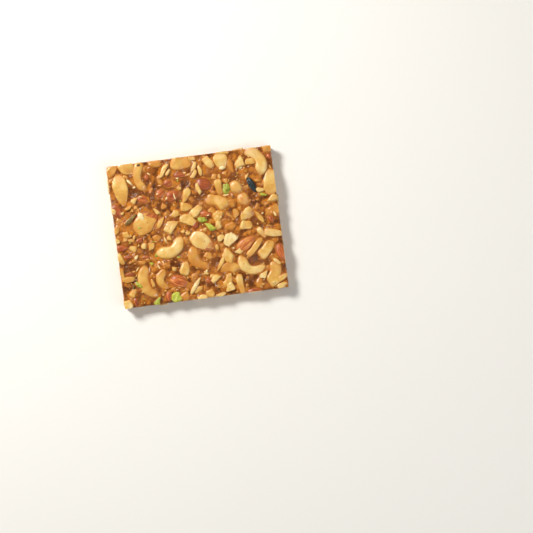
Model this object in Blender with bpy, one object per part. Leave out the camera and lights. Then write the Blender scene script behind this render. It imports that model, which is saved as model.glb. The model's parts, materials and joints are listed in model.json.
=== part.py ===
"""A slab of mixed nut brittle: cashews, almonds and pistachios set in caramel, rolled flat and cut by knife.

The slab lies on its flat underside, with its origin at the middle of that face, +X along its longer side
and +Z up. Metres in Blender; the sizes below are millimetres and are turned to metres as each mesh is made.
"""

import math
import random

import bmesh
import bpy
from mathutils import Matrix, Vector, noise

MM = 0.001

# The slab, as the knife left it.
LENGTH = 133.0
WIDTH = 115.0
THICKNESS = 12.0
CARAMEL_DIP = 1.8  # the caramel lies this far below the rolled tops of the nuts
CARAMEL_SWELL = 0.45  # and rises and falls by this much
WAVE_LENGTH = 17.0  # from one rise of the caramel to the next
CARAMEL_SETBACK = 0.55  # the caramel's sides stand back from the knife's cut through the nuts
SIDE_SWELL = 0.22  # and bulge in and out by this much
STICK_OUT = 0.8  # a few pieces the knife pushed aside stand out of the cut this far
CORNER_ROUND = 1.6
EDGE_ROUND = 0.8

# How finely the slab and the nuts are divided.
TOP_COLUMNS = 15
TOP_ROWS = 13
BIG_NUT = 11.0  # almonds longer than this have more rings and sides
BIG_CHUNK = 9.0  # and broken pieces longer than this have more corners
BIG_CHUNK_POINTS = 12
CHUNK_POINTS = 9
BLOCK_POWER = 3.6  # how square the block is that a broken piece's corners lie on

# Depth of each kind of piece as a share of its width, and the least depth in millimetres.
DEPTH = {
    "cashew": (0.85, 5.6),
    "half": (0.70, 5.0),
    "kernel": (0.46, 5.0),
    "almond": (0.70, 4.8),
    "chunk": (0.80, 4.8),
    "pistachio": (0.75, 4.8),
    "chip": (0.60, 4.6),
    "raisin": (0.90, 4.8),
}
MOST_TILT = {"cashew": 4, "half": 3, "kernel": 2, "almond": 5, "chunk": 6, "pistachio": 6, "chip": 4, "raisin": 3}

# Each piece that shows on top: x, y, length, width, turn in degrees, and how far its top stands above the
# rolled surface, with the bend of a cashew in degrees after its turn.
CASHEWS = (
    (-40.8, 46.2, 24.5, 6.8, -90, 95, 0.3),
    (53.4, 47.8, 26.0, 9.2, 120, 130, 0.6),
    (-22.7, -14.2, 25.5, 9.6, 26, 120, 0.6),
    (-45.1, -39.5, 29.5, 8.8, -72, 118, 0.3),
    (-33.3, -38.3, 16.5, 6.4, -88, 135, 0.0),
    (-2.8, -25.7, 23.0, 8.8, -57, 110, 0.6),
    (38.2, -36.4, 23.5, 7.6, -31, 140, 0.4),
    (17.8, 18.3, 25.0, 8.0, 157, 75, 0.5),
    (21.0, -36.3, 16.0, 7.5, 180, 100, -0.5),
    (18.5, -45.5, 12.5, 6.0, 60, 80, -0.2),
    (-14.3, -31.5, 12.5, 8.0, 75, 15, 0.2),
    (0.8, 13.0, 12.0, 7.0, 35, 10, 0.4),
    (-58.0, -45.6, 8.5, 5.0, 62, 15, 0.2),
)
HALVES = (
    (-6.5, 53.0, 18.5, 11.0, -4, 25, 0.3),
    (56.3, -44.0, 22.0, 10.5, 73, 55, 0.3),
    (52.5, -24.8, 17.5, 8.5, 48, 20, 0.1),
    (43.5, -22.0, 20.0, 4.8, 46, 15, 0.1),
    (59.5, -12.3, 16.0, 6.0, -14, 10, 0.5),
    (50.5, -11.0, 11.0, 4.6, -55, 10, 0.2),
    (28.5, -50.0, 17.5, 5.2, -84, 15, 0.2),
    (21.2, 29.5, 14.5, 5.5, -84, 20, 0.0),
    (39.0, -3.5, 10.5, 7.0, -8, 20, 0.3),
    (15.6, 50.2, 12.0, 6.2, -56, 10, 0.1),
    (-64.3, -17.5, 10.5, 4.4, -66, 10, 0.3),
)
KERNELS = (
    (-56.9, 36.9, 26.5, 12.0, -85, 0.5),
    (-40.7, 9.2, 23.5, 15.0, 38, 0.6),
    (2.0, -11.7, 22.0, 13.0, -38, 0.6),
    (63.0, 28.9, 23.0, 12.0, 84, 0.4),
    (-50.0, 54.8, 17.0, 12.0, -48, 0.3),
    (62.3, -48.8, 12.5, 5.0, 28, 0.2),
    (25.4, 50.0, 14.5, 11.5, -80, 0.2),
)
ALMONDS = (
    (37.2, -18.3, 20.5, 9.6, 33, 0.6),
    (-18.5, -41.5, 18.5, 9.8, -25, 0.4),
    (64.0, -29.5, 17.0, 8.5, -76, 0.3),
    (10.0, 33.0, 16.0, 11.0, -28, 0.2),
    (35.2, 27.0, 14.0, 10.6, -55, 0.3),
    (39.7, 16.8, 13.5, 10.5, -58, 0.3),
    (-16.5, 27.5, 13.0, 10.0, 20, 0.1),
    (-62.3, 20.5, 16.0, 9.5, -62, 0.2),
    (-8.3, 43.0, 12.0, 5.0, -4, 0.0),
    (-18.5, 38.0, 9.0, 7.0, 10, -0.2),
    (-35.2, 45.2, 6.5, 4.2, 80, 0.0),
    (-30.0, -51.3, 9.5, 5.5, 85, -0.2),
    (39.5, -56.4, 14.0, 4.4, 2, 0.0),
    (-28.5, 7.5, 12.5, 4.8, 55, 0.3),
    (-57.3, -16.7, 8.5, 3.0, 4, 0.2),
    (-62.5, -9.0, 10.5, 5.6, -5, 0.0),
    (4.0, -43.8, 7.5, 5.0, -20, -0.2),
    (8.2, 9.6, 11.0, 5.5, -15, 0.0),
    (64.3, 48.5, 5.5, 4.5, -60, 0.0),
    (-25.5, 31.0, 10.0, 8.0, 30, -0.5),
    (-40.0, 27.5, 12.5, 7.0, -15, -0.5),
    (59.5, -1.5, 7.0, 4.5, -60, -0.3),
    (-1.2, 1.8, 7.0, 5.5, 55, 0.0),
    (-56.6, -53.5, 9.0, 3.5, -80, 0.1),
)
CHUNKS = (
    (-62.6, 53.2, 9.5, 8.5, 10, -0.4),
    (-27.3, 54.6, 10.5, 7.0, -10, 0.0),
    (-21.5, 47.8, 14.5, 4.6, 56, 0.3),
    (-18.0, 46.3, 6.5, 2.8, 50, 0.2),
    (-47.6, 27.7, 5.5, 5.0, 40, 0.2),
    (-53.0, 22.5, 6.5, 3.0, 25, 0.2),
    (-6.2, 26.8, 12.0, 7.0, 60, 0.3),
    (-7.3, 18.2, 10.5, 8.5, 20, 0.1),
    (-31.2, 17.0, 6.5, 3.5, -55, 0.1),
    (-16.0, 13.0, 9.0, 5.8, 24, 0.1),
    (-7.0, 6.7, 13.5, 8.5, -14, 0.3),
    (-21.5, 2.6, 15.5, 9.0, 33, 0.4),
    (-64.2, 5.8, 7.5, 5.0, 75, 0.2),
    (-56.8, 1.0, 9.5, 7.0, -38, 0.2),
    (3.6, 47.8, 9.0, 3.4, 65, 0.2),
    (2.3, 42.0, 8.8, 3.6, 56, 0.1),
    (8.0, 45.0, 9.2, 3.3, -78, 0.3),
    (27.5, 57.0, 10.0, 3.4, 0, 0.1),
    (40.5, 47.0, 11.5, 8.0, 76, 0.5),
    (48.5, 46.5, 8.0, 6.0, 0, -0.2),
    (63.0, 54.8, 8.6, 7.4, -5, 0.0),
    (44.3, 35.6, 5.6, 3.0, 55, 0.3),
    (53.6, 22.6, 7.4, 4.8, -5, 0.2),
    (52.0, 30.8, 5.8, 2.6, -18, 0.0),
    (62.2, 14.9, 10.0, 6.2, 5, 0.1),
    (4.5, 30.5, 9.2, 3.4, -72, 0.6),
    (18.0, 38.5, 6.5, 4.5, 0, -0.2),
    (27.0, 33.4, 5.2, 4.2, 0, -0.1),
    (29.0, 15.8, 9.0, 8.0, -60, -0.5),
    (11.2, 12.0, 10.0, 8.5, 20, -0.5),
    (19.8, 6.5, 13.5, 10.0, 15, 0.1),
    (17.0, -0.2, 8.5, 7.0, 40, 0.4),
    (31.5, 6.5, 7.0, 6.0, 70, 0.0),
    (42.0, 5.6, 15.5, 9.5, 12, 0.4),
    (49.5, 3.2, 14.0, 4.2, -60, 0.1),
    (50.4, 9.6, 6.0, 5.0, 60, -0.4),
    (61.5, 4.5, 12.5, 11.5, 0, -0.4),
    (32.3, 45.0, 13.0, 6.0, -80, -0.4),
    (-65.4, -2.8, 4.5, 4.2, 0, 0.1),
    (-53.5, -10.8, 7.4, 6.0, 20, 0.2),
    (-44.0, -9.7, 5.2, 5.0, 0, 0.2),
    (-39.0, -11.0, 6.6, 5.0, 80, 0.0),
    (-23.0, -6.0, 4.6, 4.0, 0, 0.1),
    (-8.2, -3.8, 4.8, 3.6, 20, 0.1),
    (-65.6, -28.2, 11.0, 5.0, -70, 0.1),
    (-48.5, -22.4, 8.5, 5.2, -10, -0.4),
    (-60.0, -34.7, 10.0, 4.6, 0, 0.2),
    (-62.4, -54.4, 9.0, 8.2, 0, 0.5),
    (-41.2, -40.6, 7.8, 3.2, -65, 0.3),
    (-22.4, -30.8, 5.4, 4.2, 10, 0.1),
    (-16.7, -54.0, 8.5, 7.5, 60, -0.4),
    (-5.6, -50.2, 8.5, 6.5, 30, -0.2),
    (-3.6, -56.2, 8.5, 4.4, 3, 0.3),
    (17.0, -11.5, 7.0, 6.4, 60, 0.3),
    (25.2, -13.8, 12.0, 9.4, 68, 0.4),
    (21.7, -26.7, 13.0, 8.4, -58, 0.2),
    (14.2, -31.8, 12.5, 4.2, 50, 0.2),
    (5.2, -24.0, 9.5, 6.2, 0, -0.3),
    (13.3, -18.2, 6.2, 2.6, 85, 0.0),
    (21.2, -51.9, 10.2, 8.6, 72, 0.5),
    (9.6, -42.6, 9.5, 6.0, 16, 0.3),
    (3.0, -54.8, 8.0, 7.0, 40, 0.1),
    (10.6, -56.4, 10.0, 3.8, 2, 0.3),
    (48.0, -44.5, 9.0, 4.8, 58, 0.5),
    (60.2, -36.0, 8.2, 3.0, -56, 0.4),
    (61.8, -55.6, 10.0, 5.6, 3, 0.4),
    (43.4, -50.0, 9.0, 6.5, 80, -0.3),
    (26.5, -3.2, 11.0, 6.5, 10, -0.4),
)
PISTACHIOS = (
    (26.5, 27.2, 8.8, 7.0, 62, 0.6),
    (4.8, 5.0, 8.2, 5.0, -10, 0.5),
    (10.0, -1.2, 11.0, 5.0, -47, 0.6),
    (55.2, 18.8, 6.8, 3.0, -30, 0.4),
    (-52.0, -40.6, 7.8, 4.2, -34, 0.6),
    (-24.2, -53.0, 9.6, 7.4, 85, 0.5),
    (-39.3, -55.0, 8.4, 4.2, 55, 0.5),
)
CHIPS = (
    (-7.6, -46.4, 15.8, 3.6, 53, 0.7),
    (-43.4, 13.6, 8.6, 4.8, -64, 1.0),
    (-49.3, 42.5, 6.6, 2.2, -50, 0.5),
    (-64.8, 21.0, 6.8, 4.0, -75, 0.5),
    (26.0, 44.5, 5.8, 3.2, 4, 0.5),
    (-51.7, -17.6, 4.5, 2.3, 50, 0.6),
)
RAISINS = ((47.5, 27.5, 14.2, 5.0, -67, 0.7),)

# Pieces that the knife cut through on the sides, below the top ones.
SIDE_SPACING = 13.0
SIDE_DEPTHS = (3.6, 6.8)
SIDE_NUT_DEPTH = 5.0
# Pieces that it pushed aside: x, y, length, and the axis along which each stands out.
STUCK_OUT = (
    (-66.0, 42.2, 13.6, "x"),
    (66.0, 13.2, 10.0, "x"),
    (40.2, 57.2, 9.6, "y"),
    (-35.5, -57.2, 8.5, "y"),
)
STUCK_OUT_WIDTH = 7.0
SEED = 41


def superellipse(angle, half_width, half_depth, power):
    """A point of a rounded box outline: power 2 is an ellipse, and more is squarer."""
    c, s = math.cos(angle), math.sin(angle)
    return (
        math.copysign(abs(c) ** (2 / power), c) * half_width,
        math.copysign(abs(s) ** (2 / power), s) * half_depth,
    )


def loft(points, sizes, sides, power_up, power_down):
    """A closed mesh round a centre line: sizes holds the half width and half depth at each of its points."""
    bm = bmesh.new()
    rings = []
    last = len(points) - 1
    for i, (point, (half_width, half_depth)) in enumerate(zip(points, sizes)):
        ahead = points[min(i + 1, last)] - points[max(i - 1, 0)]
        across = Vector((-ahead.y, ahead.x, 0)).normalized()
        ring = []
        for k in range(sides):
            angle = 2 * math.pi * (k + 0.5) / sides
            power = power_up if math.sin(angle) > 0 else power_down
            a, b = superellipse(angle, half_width, half_depth, power)
            ring.append(bm.verts.new(point + across * a + Vector((0, 0, b))))
        rings.append(ring)
    for low, high in zip(rings, rings[1:]):
        for k in range(sides):
            n = (k + 1) % sides
            bm.faces.new((low[k], low[n], high[n], high[k]))
    bm.faces.new(rings[0][::-1])
    bm.faces.new(rings[-1])
    bmesh.ops.recalc_face_normals(bm, faces=bm.faces)
    return bm


def spaced(count):
    """Steps from nearly 0 to nearly 1 that are closer together at both ends."""
    return [0.5 - 0.5 * math.cos(math.pi * (i + 0.5) / count) for i in range(count)]


def cashew(length, width, depth, bend, rings=7, sides=8, power_up=2.4):
    """A cashew lying on its side, curled towards +Y, with a fat end and a thin end."""
    half_turn = math.radians(max(bend, 4)) / 2
    chord = length - 0.75 * width
    radius = chord / (2 * math.sin(half_turn))
    sag = radius * (1 - math.cos(half_turn))
    overrun = 0.36 * width / radius
    points, sizes = [], []
    for t in spaced(rings):
        turn = (2 * t - 1) * (half_turn + overrun)
        points.append(Vector((radius * math.sin(turn), radius * (1 - math.cos(turn)) - sag / 2, 0)))
        round_end = (1 - abs(2 * t - 1) ** 5) ** 0.5
        fat = 1.0 + 0.12 * math.cos(math.pi * t)
        sizes.append((width / 2 * round_end * fat, depth / 2 * round_end * fat))
    return loft(points, sizes, sides, power_up, 2.0)


def almond(length, width, depth, rings=8, sides=8, power_up=2.2):
    """An almond along X: broad and round behind, and drawn to a point ahead."""
    points, sizes = [], []
    for t in spaced(rings):
        points.append(Vector(((t - 0.5) * length, 0, 0)))
        swell = math.sin(math.pi * t**0.76) ** 0.66
        sizes.append((width / 2 * swell, depth / 2 * swell**0.8))
    return loft(points, sizes, sides, power_up, 2.0)


def chunk(length, width, depth, rng):
    """A broken piece of nut: the hull of a few points spread over a rounded block."""
    bm = bmesh.new()
    count = BIG_CHUNK_POINTS if length > BIG_CHUNK else CHUNK_POINTS
    half = Vector((length, width, depth)) / 2
    golden = math.pi * (3 - math.sqrt(5))
    start = rng.uniform(0, 2 * math.pi)
    for i in range(count):
        up = 1 - 2 * (i + 0.5) / count
        angle = start + golden * i + rng.uniform(-0.25, 0.25)
        flat = math.sqrt(1 - up * up)
        direction = Vector((math.cos(angle) * flat, math.sin(angle) * flat, up))
        reach = sum(abs(c) ** BLOCK_POWER for c in direction) ** (-1 / BLOCK_POWER) * rng.uniform(0.84, 1.0)
        bm.verts.new(direction * half * reach)
    hull = bmesh.ops.convex_hull(bm, input=bm.verts)
    inside = [g for g in hull["geom_interior"] if isinstance(g, bmesh.types.BMVert)]
    bmesh.ops.delete(bm, geom=inside, context="VERTS")
    bmesh.ops.recalc_face_normals(bm, faces=bm.faces)
    return bm


def shaped(kind, length, width, bend, rng):
    """The piece lying along X about the origin, in millimetres."""
    share, least = DEPTH[kind]
    depth = max(share * width, least)
    if kind == "cashew":
        return cashew(length, width, depth, bend)
    if kind == "half":
        return cashew(length, width, depth, bend, rings=6, power_up=4.5)
    if kind == "kernel":
        return almond(length, width, depth, rings=8, power_up=5.0)
    if kind == "almond":
        return almond(length, width, depth, rings=6) if length > BIG_NUT else almond(length, width, depth, 5, 6)
    return chunk(length, width, depth, rng)


def trim(bm, limits):
    """Cuts the piece by the knife's upright planes, each at limits[axis] from the middle, and closes the cut."""
    for axis, limit in enumerate(limits):
        for side in (-1, 1):
            if all(v.co[axis] * side < limit for v in bm.verts):
                continue
            normal = Vector((0, 0, 0))
            normal[axis] = side
            whole = bm.verts[:] + bm.edges[:] + bm.faces[:]
            cut = bmesh.ops.bisect_plane(bm, geom=whole, plane_co=normal * limit, plane_no=normal, clear_outer=True)
            edges = [g for g in cut["geom_cut"] if isinstance(g, bmesh.types.BMEdge)]
            bmesh.ops.contextual_create(bm, geom=edges)
    bmesh.ops.recalc_face_normals(bm, faces=bm.faces)
    return bm


def set_piece(bm, x, y, turn, top, rng, most_tilt):
    """Tilts the piece a little, turns it, and lays it so that its highest point is at the height given."""
    tilt = Matrix.Rotation(math.radians(rng.uniform(-most_tilt, most_tilt)), 4, "X")
    pitch = Matrix.Rotation(math.radians(rng.uniform(-most_tilt, most_tilt)) / 2, 4, "Y")
    spin = Matrix.Rotation(math.radians(turn), 4, "Z")
    bm.transform(spin @ tilt @ pitch)
    highest = max(v.co.z for v in bm.verts)
    bm.transform(Matrix.Translation((x, y, top - highest)))
    return bm


def as_object(bm, name, collection):
    """Turns a mesh in millimetres into an object in metres."""
    bm.transform(Matrix.Scale(MM, 4))
    mesh = bpy.data.meshes.new(name)
    bm.to_mesh(mesh)
    bm.free()
    obj = bpy.data.objects.new(name, mesh)
    collection.objects.link(obj)
    return obj


def top_pieces():
    """Every piece that shows on top, as kind, x, y, length, width, turn, bend and rise."""
    for kind, rows in (("cashew", CASHEWS), ("half", HALVES)):
        for row in rows:
            yield (kind, *row)
    for kind, rows in (
        ("kernel", KERNELS),
        ("almond", ALMONDS),
        ("chunk", CHUNKS),
        ("pistachio", PISTACHIOS),
        ("chip", CHIPS),
        ("raisin", RAISINS),
    ):
        for x, y, length, width, turn, rise in rows:
            yield (kind, x, y, length, width, turn, 0, rise)


def side_pieces(rng):
    """Where the nuts that show on the sides lie: x, y, length, height of the middle and turn."""
    for along, across, upright in ((LENGTH, WIDTH, False), (WIDTH, LENGTH, True)):
        count = round(along / SIDE_SPACING)
        for side in (-1, 1):
            for i in range(count):
                place = (i + 0.5) / count * along - along / 2 + rng.uniform(-2.5, 2.5)
                place = max(-along / 2 + 7, min(along / 2 - 7, place))
                edge = side * (across / 2 - rng.uniform(0.0, 1.0))
                middle = SIDE_DEPTHS[i % 2] + rng.uniform(-0.6, 0.6)
                x, y = (edge, place) if upright else (place, edge)
                yield x, y, rng.uniform(9.0, 13.0), middle, rng.uniform(-35, 35) + (90 if upright else 0)


def caramel_height(x, y):
    """The caramel's level between the nuts."""
    swell = noise.noise(Vector((x / WAVE_LENGTH, y / WAVE_LENGTH, 3.7)))
    return THICKNESS - CARAMEL_DIP + CARAMEL_SWELL * swell


def outline_point(share_x, share_y, inset, swell, z):
    """A point of the slab's outline, where the shares run from -1 to 1 and the corners are slightly rounded."""
    x, y = share_x * (LENGTH / 2 - inset), share_y * (WIDTH / 2 - inset)
    near = max(0.0, abs(share_x) + abs(share_y) - 1.9) * 10
    pull = 1 - near * CORNER_ROUND / LENGTH
    wobble = swell * noise.noise(Vector((x / 9.0, y / 9.0, z / 5.0)))
    x -= math.copysign(wobble, x) if abs(share_x) > 0.999 else 0
    y -= math.copysign(wobble, y) if abs(share_y) > 0.999 else 0
    return Vector((x * pull, y * pull, z))


def caramel_slab():
    """The caramel: an uneven top, sides that stand back a little from the cut, and a flat underside."""
    bm = bmesh.new()
    grid = {}
    for i in range(TOP_COLUMNS + 1):
        for j in range(TOP_ROWS + 1):
            share_x, share_y = 2 * i / TOP_COLUMNS - 1, 2 * j / TOP_ROWS - 1
            point = outline_point(share_x, share_y, CARAMEL_SETBACK + EDGE_ROUND, 0, 0)
            point.z = caramel_height(point.x, point.y)
            grid[i, j] = bm.verts.new(point)
    for i in range(TOP_COLUMNS):
        for j in range(TOP_ROWS):
            bm.faces.new((grid[i, j], grid[i + 1, j], grid[i + 1, j + 1], grid[i, j + 1]))
    ring = [(i, 0) for i in range(TOP_COLUMNS)] + [(TOP_COLUMNS, j) for j in range(TOP_ROWS)]
    ring += [(i, TOP_ROWS) for i in range(TOP_COLUMNS, 0, -1)] + [(0, j) for j in range(TOP_ROWS, 0, -1)]
    above = [grid[key] for key in ring]
    shoulder = THICKNESS - CARAMEL_DIP - 2 * EDGE_ROUND
    levels = (
        (CARAMEL_SETBACK, shoulder, SIDE_SWELL),
        (CARAMEL_SETBACK, 0.5 * shoulder, SIDE_SWELL),
        (CARAMEL_SETBACK, EDGE_ROUND, SIDE_SWELL),
        (CARAMEL_SETBACK + EDGE_ROUND, 0.0, 0.0),
    )
    for inset, z, swell in levels:
        below = []
        for i, j in ring:
            share_x, share_y = 2 * i / TOP_COLUMNS - 1, 2 * j / TOP_ROWS - 1
            below.append(bm.verts.new(outline_point(share_x, share_y, inset, swell, z)))
        for k in range(len(ring)):
            n = (k + 1) % len(ring)
            bm.faces.new((above[n], above[k], below[k], below[n]))
        above = below
    bm.faces.new(above[::-1])
    bmesh.ops.recalc_face_normals(bm, faces=bm.faces)
    return bm


def caramel_material():
    """Amber caramel with toasted nuts in it: one warm brown, glossy."""
    material = bpy.data.materials.new("nut_brittle")
    material.use_nodes = True
    shader = material.node_tree.nodes["Principled BSDF"]
    shader.inputs["Base Color"].default_value = (0.52, 0.24, 0.06, 1)
    shader.inputs["Roughness"].default_value = 0.3
    shader.inputs["Metallic"].default_value = 0.0
    return material


def make_nuts(collection):
    """One closed mesh for each nut, in place and trimmed to the knife's cut."""
    cut = (LENGTH / 2, WIDTH / 2)
    for number, (kind, x, y, length, width, turn, bend, rise) in enumerate(top_pieces()):
        rng = random.Random(SEED + number)
        bm = shaped(kind, length, width, bend, rng)
        set_piece(bm, x, y, turn, THICKNESS + rise, rng, MOST_TILT[kind])
        as_object(trim(bm, cut), f"{kind}_{number}", collection)
    rng = random.Random(SEED)
    for number, (x, y, size, middle, turn) in enumerate(side_pieces(rng)):
        bm = chunk(size, 0.7 * size, SIDE_NUT_DEPTH, rng)
        set_piece(bm, x, y, turn, middle + SIDE_NUT_DEPTH / 2, rng, 3)
        as_object(trim(bm, cut), f"side_{number}", collection)
    for number, (x, y, size, way) in enumerate(STUCK_OUT):
        reach = tuple(side + (STICK_OUT if axis == way else 0) for axis, side in zip("xy", cut))
        bm = chunk(size, STUCK_OUT_WIDTH, SIDE_NUT_DEPTH, rng)
        set_piece(bm, x, y, 90 if way == "x" else 0, 0.75 * THICKNESS, rng, 2)
        as_object(trim(bm, reach), f"stuck_out_{number}", collection)


def keep_largest(mesh):
    """Drops loose scraps and the shells of sealed hollows, which leaves one closed body."""
    bm = bmesh.new()
    bm.from_mesh(mesh)
    left = set(bm.verts)
    bodies = []
    while left:
        start = left.pop()
        body, reached = [start], [start]
        while reached:
            for edge in reached.pop().link_edges:
                for vert in edge.verts:
                    if vert in left:
                        left.remove(vert)
                        body.append(vert)
                        reached.append(vert)
        bodies.append(body)
    bodies.sort(key=len)
    for body in bodies[:-1]:
        bmesh.ops.delete(bm, geom=body, context="VERTS")
    bm.to_mesh(mesh)
    bm.free()


def main():
    for obj in list(bpy.data.objects):
        bpy.data.objects.remove(obj)
    scene_collection = bpy.context.scene.collection
    nuts = bpy.data.collections.new("nuts")
    scene_collection.children.link(nuts)
    slab = as_object(caramel_slab(), "brittle_slab", scene_collection)
    make_nuts(nuts)
    join = slab.modifiers.new("nuts set in the caramel", "BOOLEAN")
    join.operation = "UNION"
    join.operand_type = "COLLECTION"
    join.collection = nuts
    join.solver = "EXACT"
    graph = bpy.context.evaluated_depsgraph_get()
    fused = bpy.data.meshes.new_from_object(slab.evaluated_get(graph))
    slab.modifiers.clear()
    slab.data = fused
    for obj in list(nuts.objects):
        bpy.data.objects.remove(obj)
    bpy.data.collections.remove(nuts)
    keep_largest(fused)
    fused.materials.clear()
    fused.materials.append(caramel_material())
    fused.name = "brittle_slab"


main()
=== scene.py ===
"""Dresses a slab of mixed nut brittle: nuts set in glossy amber caramel, rolled flat and cut by knife."""

import json
import math
from typing import NamedTuple

import bmesh
import bpy
import numpy as np
from bpy.props import FloatProperty, FloatVectorProperty, IntProperty, PointerProperty
from mathutils import Matrix, Vector
from mathutils.bvhtree import BVHTree

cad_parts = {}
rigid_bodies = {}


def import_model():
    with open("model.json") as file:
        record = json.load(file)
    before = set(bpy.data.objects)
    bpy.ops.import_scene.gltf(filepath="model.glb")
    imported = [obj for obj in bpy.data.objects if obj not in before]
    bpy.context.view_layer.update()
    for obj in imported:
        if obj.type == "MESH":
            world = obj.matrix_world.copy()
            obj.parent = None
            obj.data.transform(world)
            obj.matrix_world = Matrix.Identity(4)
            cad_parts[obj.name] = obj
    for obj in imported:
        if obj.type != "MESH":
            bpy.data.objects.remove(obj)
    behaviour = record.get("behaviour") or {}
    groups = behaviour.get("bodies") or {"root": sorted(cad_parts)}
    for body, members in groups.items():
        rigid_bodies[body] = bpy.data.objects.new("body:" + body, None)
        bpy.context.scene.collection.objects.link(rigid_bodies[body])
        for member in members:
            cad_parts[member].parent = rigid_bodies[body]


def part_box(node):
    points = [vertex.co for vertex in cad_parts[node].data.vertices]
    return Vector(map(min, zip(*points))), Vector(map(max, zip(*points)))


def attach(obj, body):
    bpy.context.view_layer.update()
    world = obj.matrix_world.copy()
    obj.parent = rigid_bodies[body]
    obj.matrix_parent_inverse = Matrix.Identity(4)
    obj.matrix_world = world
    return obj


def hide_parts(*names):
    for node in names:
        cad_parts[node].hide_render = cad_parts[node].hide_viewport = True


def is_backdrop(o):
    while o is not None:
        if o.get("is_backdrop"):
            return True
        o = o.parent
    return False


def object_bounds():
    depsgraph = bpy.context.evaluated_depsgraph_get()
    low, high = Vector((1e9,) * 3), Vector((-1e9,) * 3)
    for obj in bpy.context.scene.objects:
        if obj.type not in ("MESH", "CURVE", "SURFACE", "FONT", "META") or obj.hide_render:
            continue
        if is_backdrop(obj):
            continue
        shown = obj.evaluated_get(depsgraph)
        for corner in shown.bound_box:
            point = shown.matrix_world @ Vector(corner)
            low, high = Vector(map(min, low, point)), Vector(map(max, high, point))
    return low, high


bl_info = {
    "name": "Nut Brittle",
    "version": (1, 0, 0),
    "blender": (4, 5, 0),
    "location": "3D View > Sidebar > Brittle",
    "description": "Makes the nuts, caramel and crumbs of a slab of nut brittle around its packed solid",
    "category": "Object",
}

NODE = "brittle_slab"
BODY = "root"
MM = 0.001

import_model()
CAD_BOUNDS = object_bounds()
CAD_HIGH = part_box(NODE)[1]

# The knife's cuts, worked back from the solid's box: a few nuts stand out of them by this much.
STICK_OUT = 0.8
HALF_LENGTH = CAD_HIGH.x / MM - STICK_OUT
HALF_WIDTH = CAD_HIGH.y / MM - STICK_OUT
TALLEST = 1.0  # the tallest seed stands this far above the rolled surface
THICKNESS = CAD_HIGH.z / MM - TALLEST
UNEVEN_CUT = 0.15  # the topmost nuts are cut up to this far back from the knife's plane
CUT_DEPTH = 0.4  # a nut's surface nearer to the knife's plane than this is cut flesh
PRESSED = 0.16  # a nut's surface lower than this was pressed on the tray


class Nut(NamedTuple):
    """A piece that shows on top: plan position and size in mm, turn in degrees, height of its top above the
    rolled surface in mm, tone, from 0 for pale and bare to 1 for deep orange under caramel, and how far a
    cashew curls, in degrees."""

    x: float
    y: float
    length: float
    width: float
    turn: float
    rise: float
    tone: float
    bend: float = 0.0


CASHEWS = (
    Nut(-40.8, 46.2, 24.5, 7.4, -90, 0.3, 0.60, 95),
    Nut(53.4, 47.8, 26.0, 9.2, 120, 0.6, 0.16, 130),
    Nut(-22.7, -14.2, 25.5, 9.8, 26, 0.6, 0.30, 120),
    Nut(-45.1, -39.5, 29.5, 9.0, -72, 0.3, 0.52, 118),
    Nut(-33.3, -38.3, 16.5, 6.6, -88, 0.0, 0.60, 135),
    Nut(-2.8, -25.7, 23.0, 9.0, -57, 0.6, 0.82, 110),
    Nut(38.2, -36.4, 23.5, 7.8, -31, 0.4, 0.14, 140),
    Nut(17.6, 18.2, 22.5, 10.2, 156, 0.7, 0.55, 48),
    Nut(21.0, -36.0, 17.0, 8.8, 180, 0.1, 0.72, 100),
    Nut(18.5, -45.5, 12.5, 6.0, 60, -0.2, 0.60, 80),
    Nut(-14.3, -31.5, 12.5, 8.0, 75, 0.2, 0.45, 15),
    Nut(0.8, 13.0, 12.0, 7.0, 35, 0.4, 0.25, 10),
    Nut(-58.0, -45.6, 8.5, 5.0, 62, 0.2, 0.55, 15),
)
HALVES = (
    Nut(-6.5, 53.0, 18.5, 11.0, -4, 0.3, 0.50, 25),
    Nut(56.3, -44.0, 22.0, 10.5, 73, 0.3, 0.55, 55),
    Nut(52.5, -24.8, 17.5, 8.5, 48, 0.1, 0.42, 20),
    Nut(43.5, -22.0, 20.0, 4.8, 46, 0.1, 0.40, 15),
    Nut(59.5, -12.3, 16.0, 6.0, -14, 0.5, 0.30, 10),
    Nut(50.5, -11.0, 11.0, 4.6, -55, 0.2, 0.35, 10),
    Nut(28.5, -50.0, 17.5, 5.2, -84, 0.2, 0.35, 15),
    Nut(21.2, 29.5, 14.5, 5.5, -84, 0.0, 0.50, 20),
    Nut(39.0, -3.5, 10.5, 7.0, -8, 0.3, 0.45, 20),
    Nut(15.6, 50.2, 12.0, 6.2, -56, 0.1, 0.35, 10),
    Nut(-64.3, -17.5, 10.5, 4.4, -66, 0.3, 0.40, 10),
)
BLANCHED = (
    Nut(-40.4, 9.3, 25.0, 15.6, 38, 0.3, 0.62),
    Nut(2.0, -11.7, 22.0, 13.0, -38, 0.6, 0.22),
    Nut(62.3, -48.8, 12.0, 4.4, 28, 0.2, 0.45),
    Nut(-28.8, 7.4, 11.5, 3.2, 55, 0.3, 0.55),
)
PEELED = (
    Nut(-56.9, 36.9, 26.5, 12.0, -85, 0.5, 0.50),
    Nut(63.0, 28.9, 23.0, 12.0, 84, 0.4, 0.38),
    Nut(-50.0, 54.8, 17.0, 12.0, -48, 0.3, 0.55),
    Nut(25.4, 50.0, 14.5, 11.5, -80, 0.2, 0.35),
)
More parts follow.
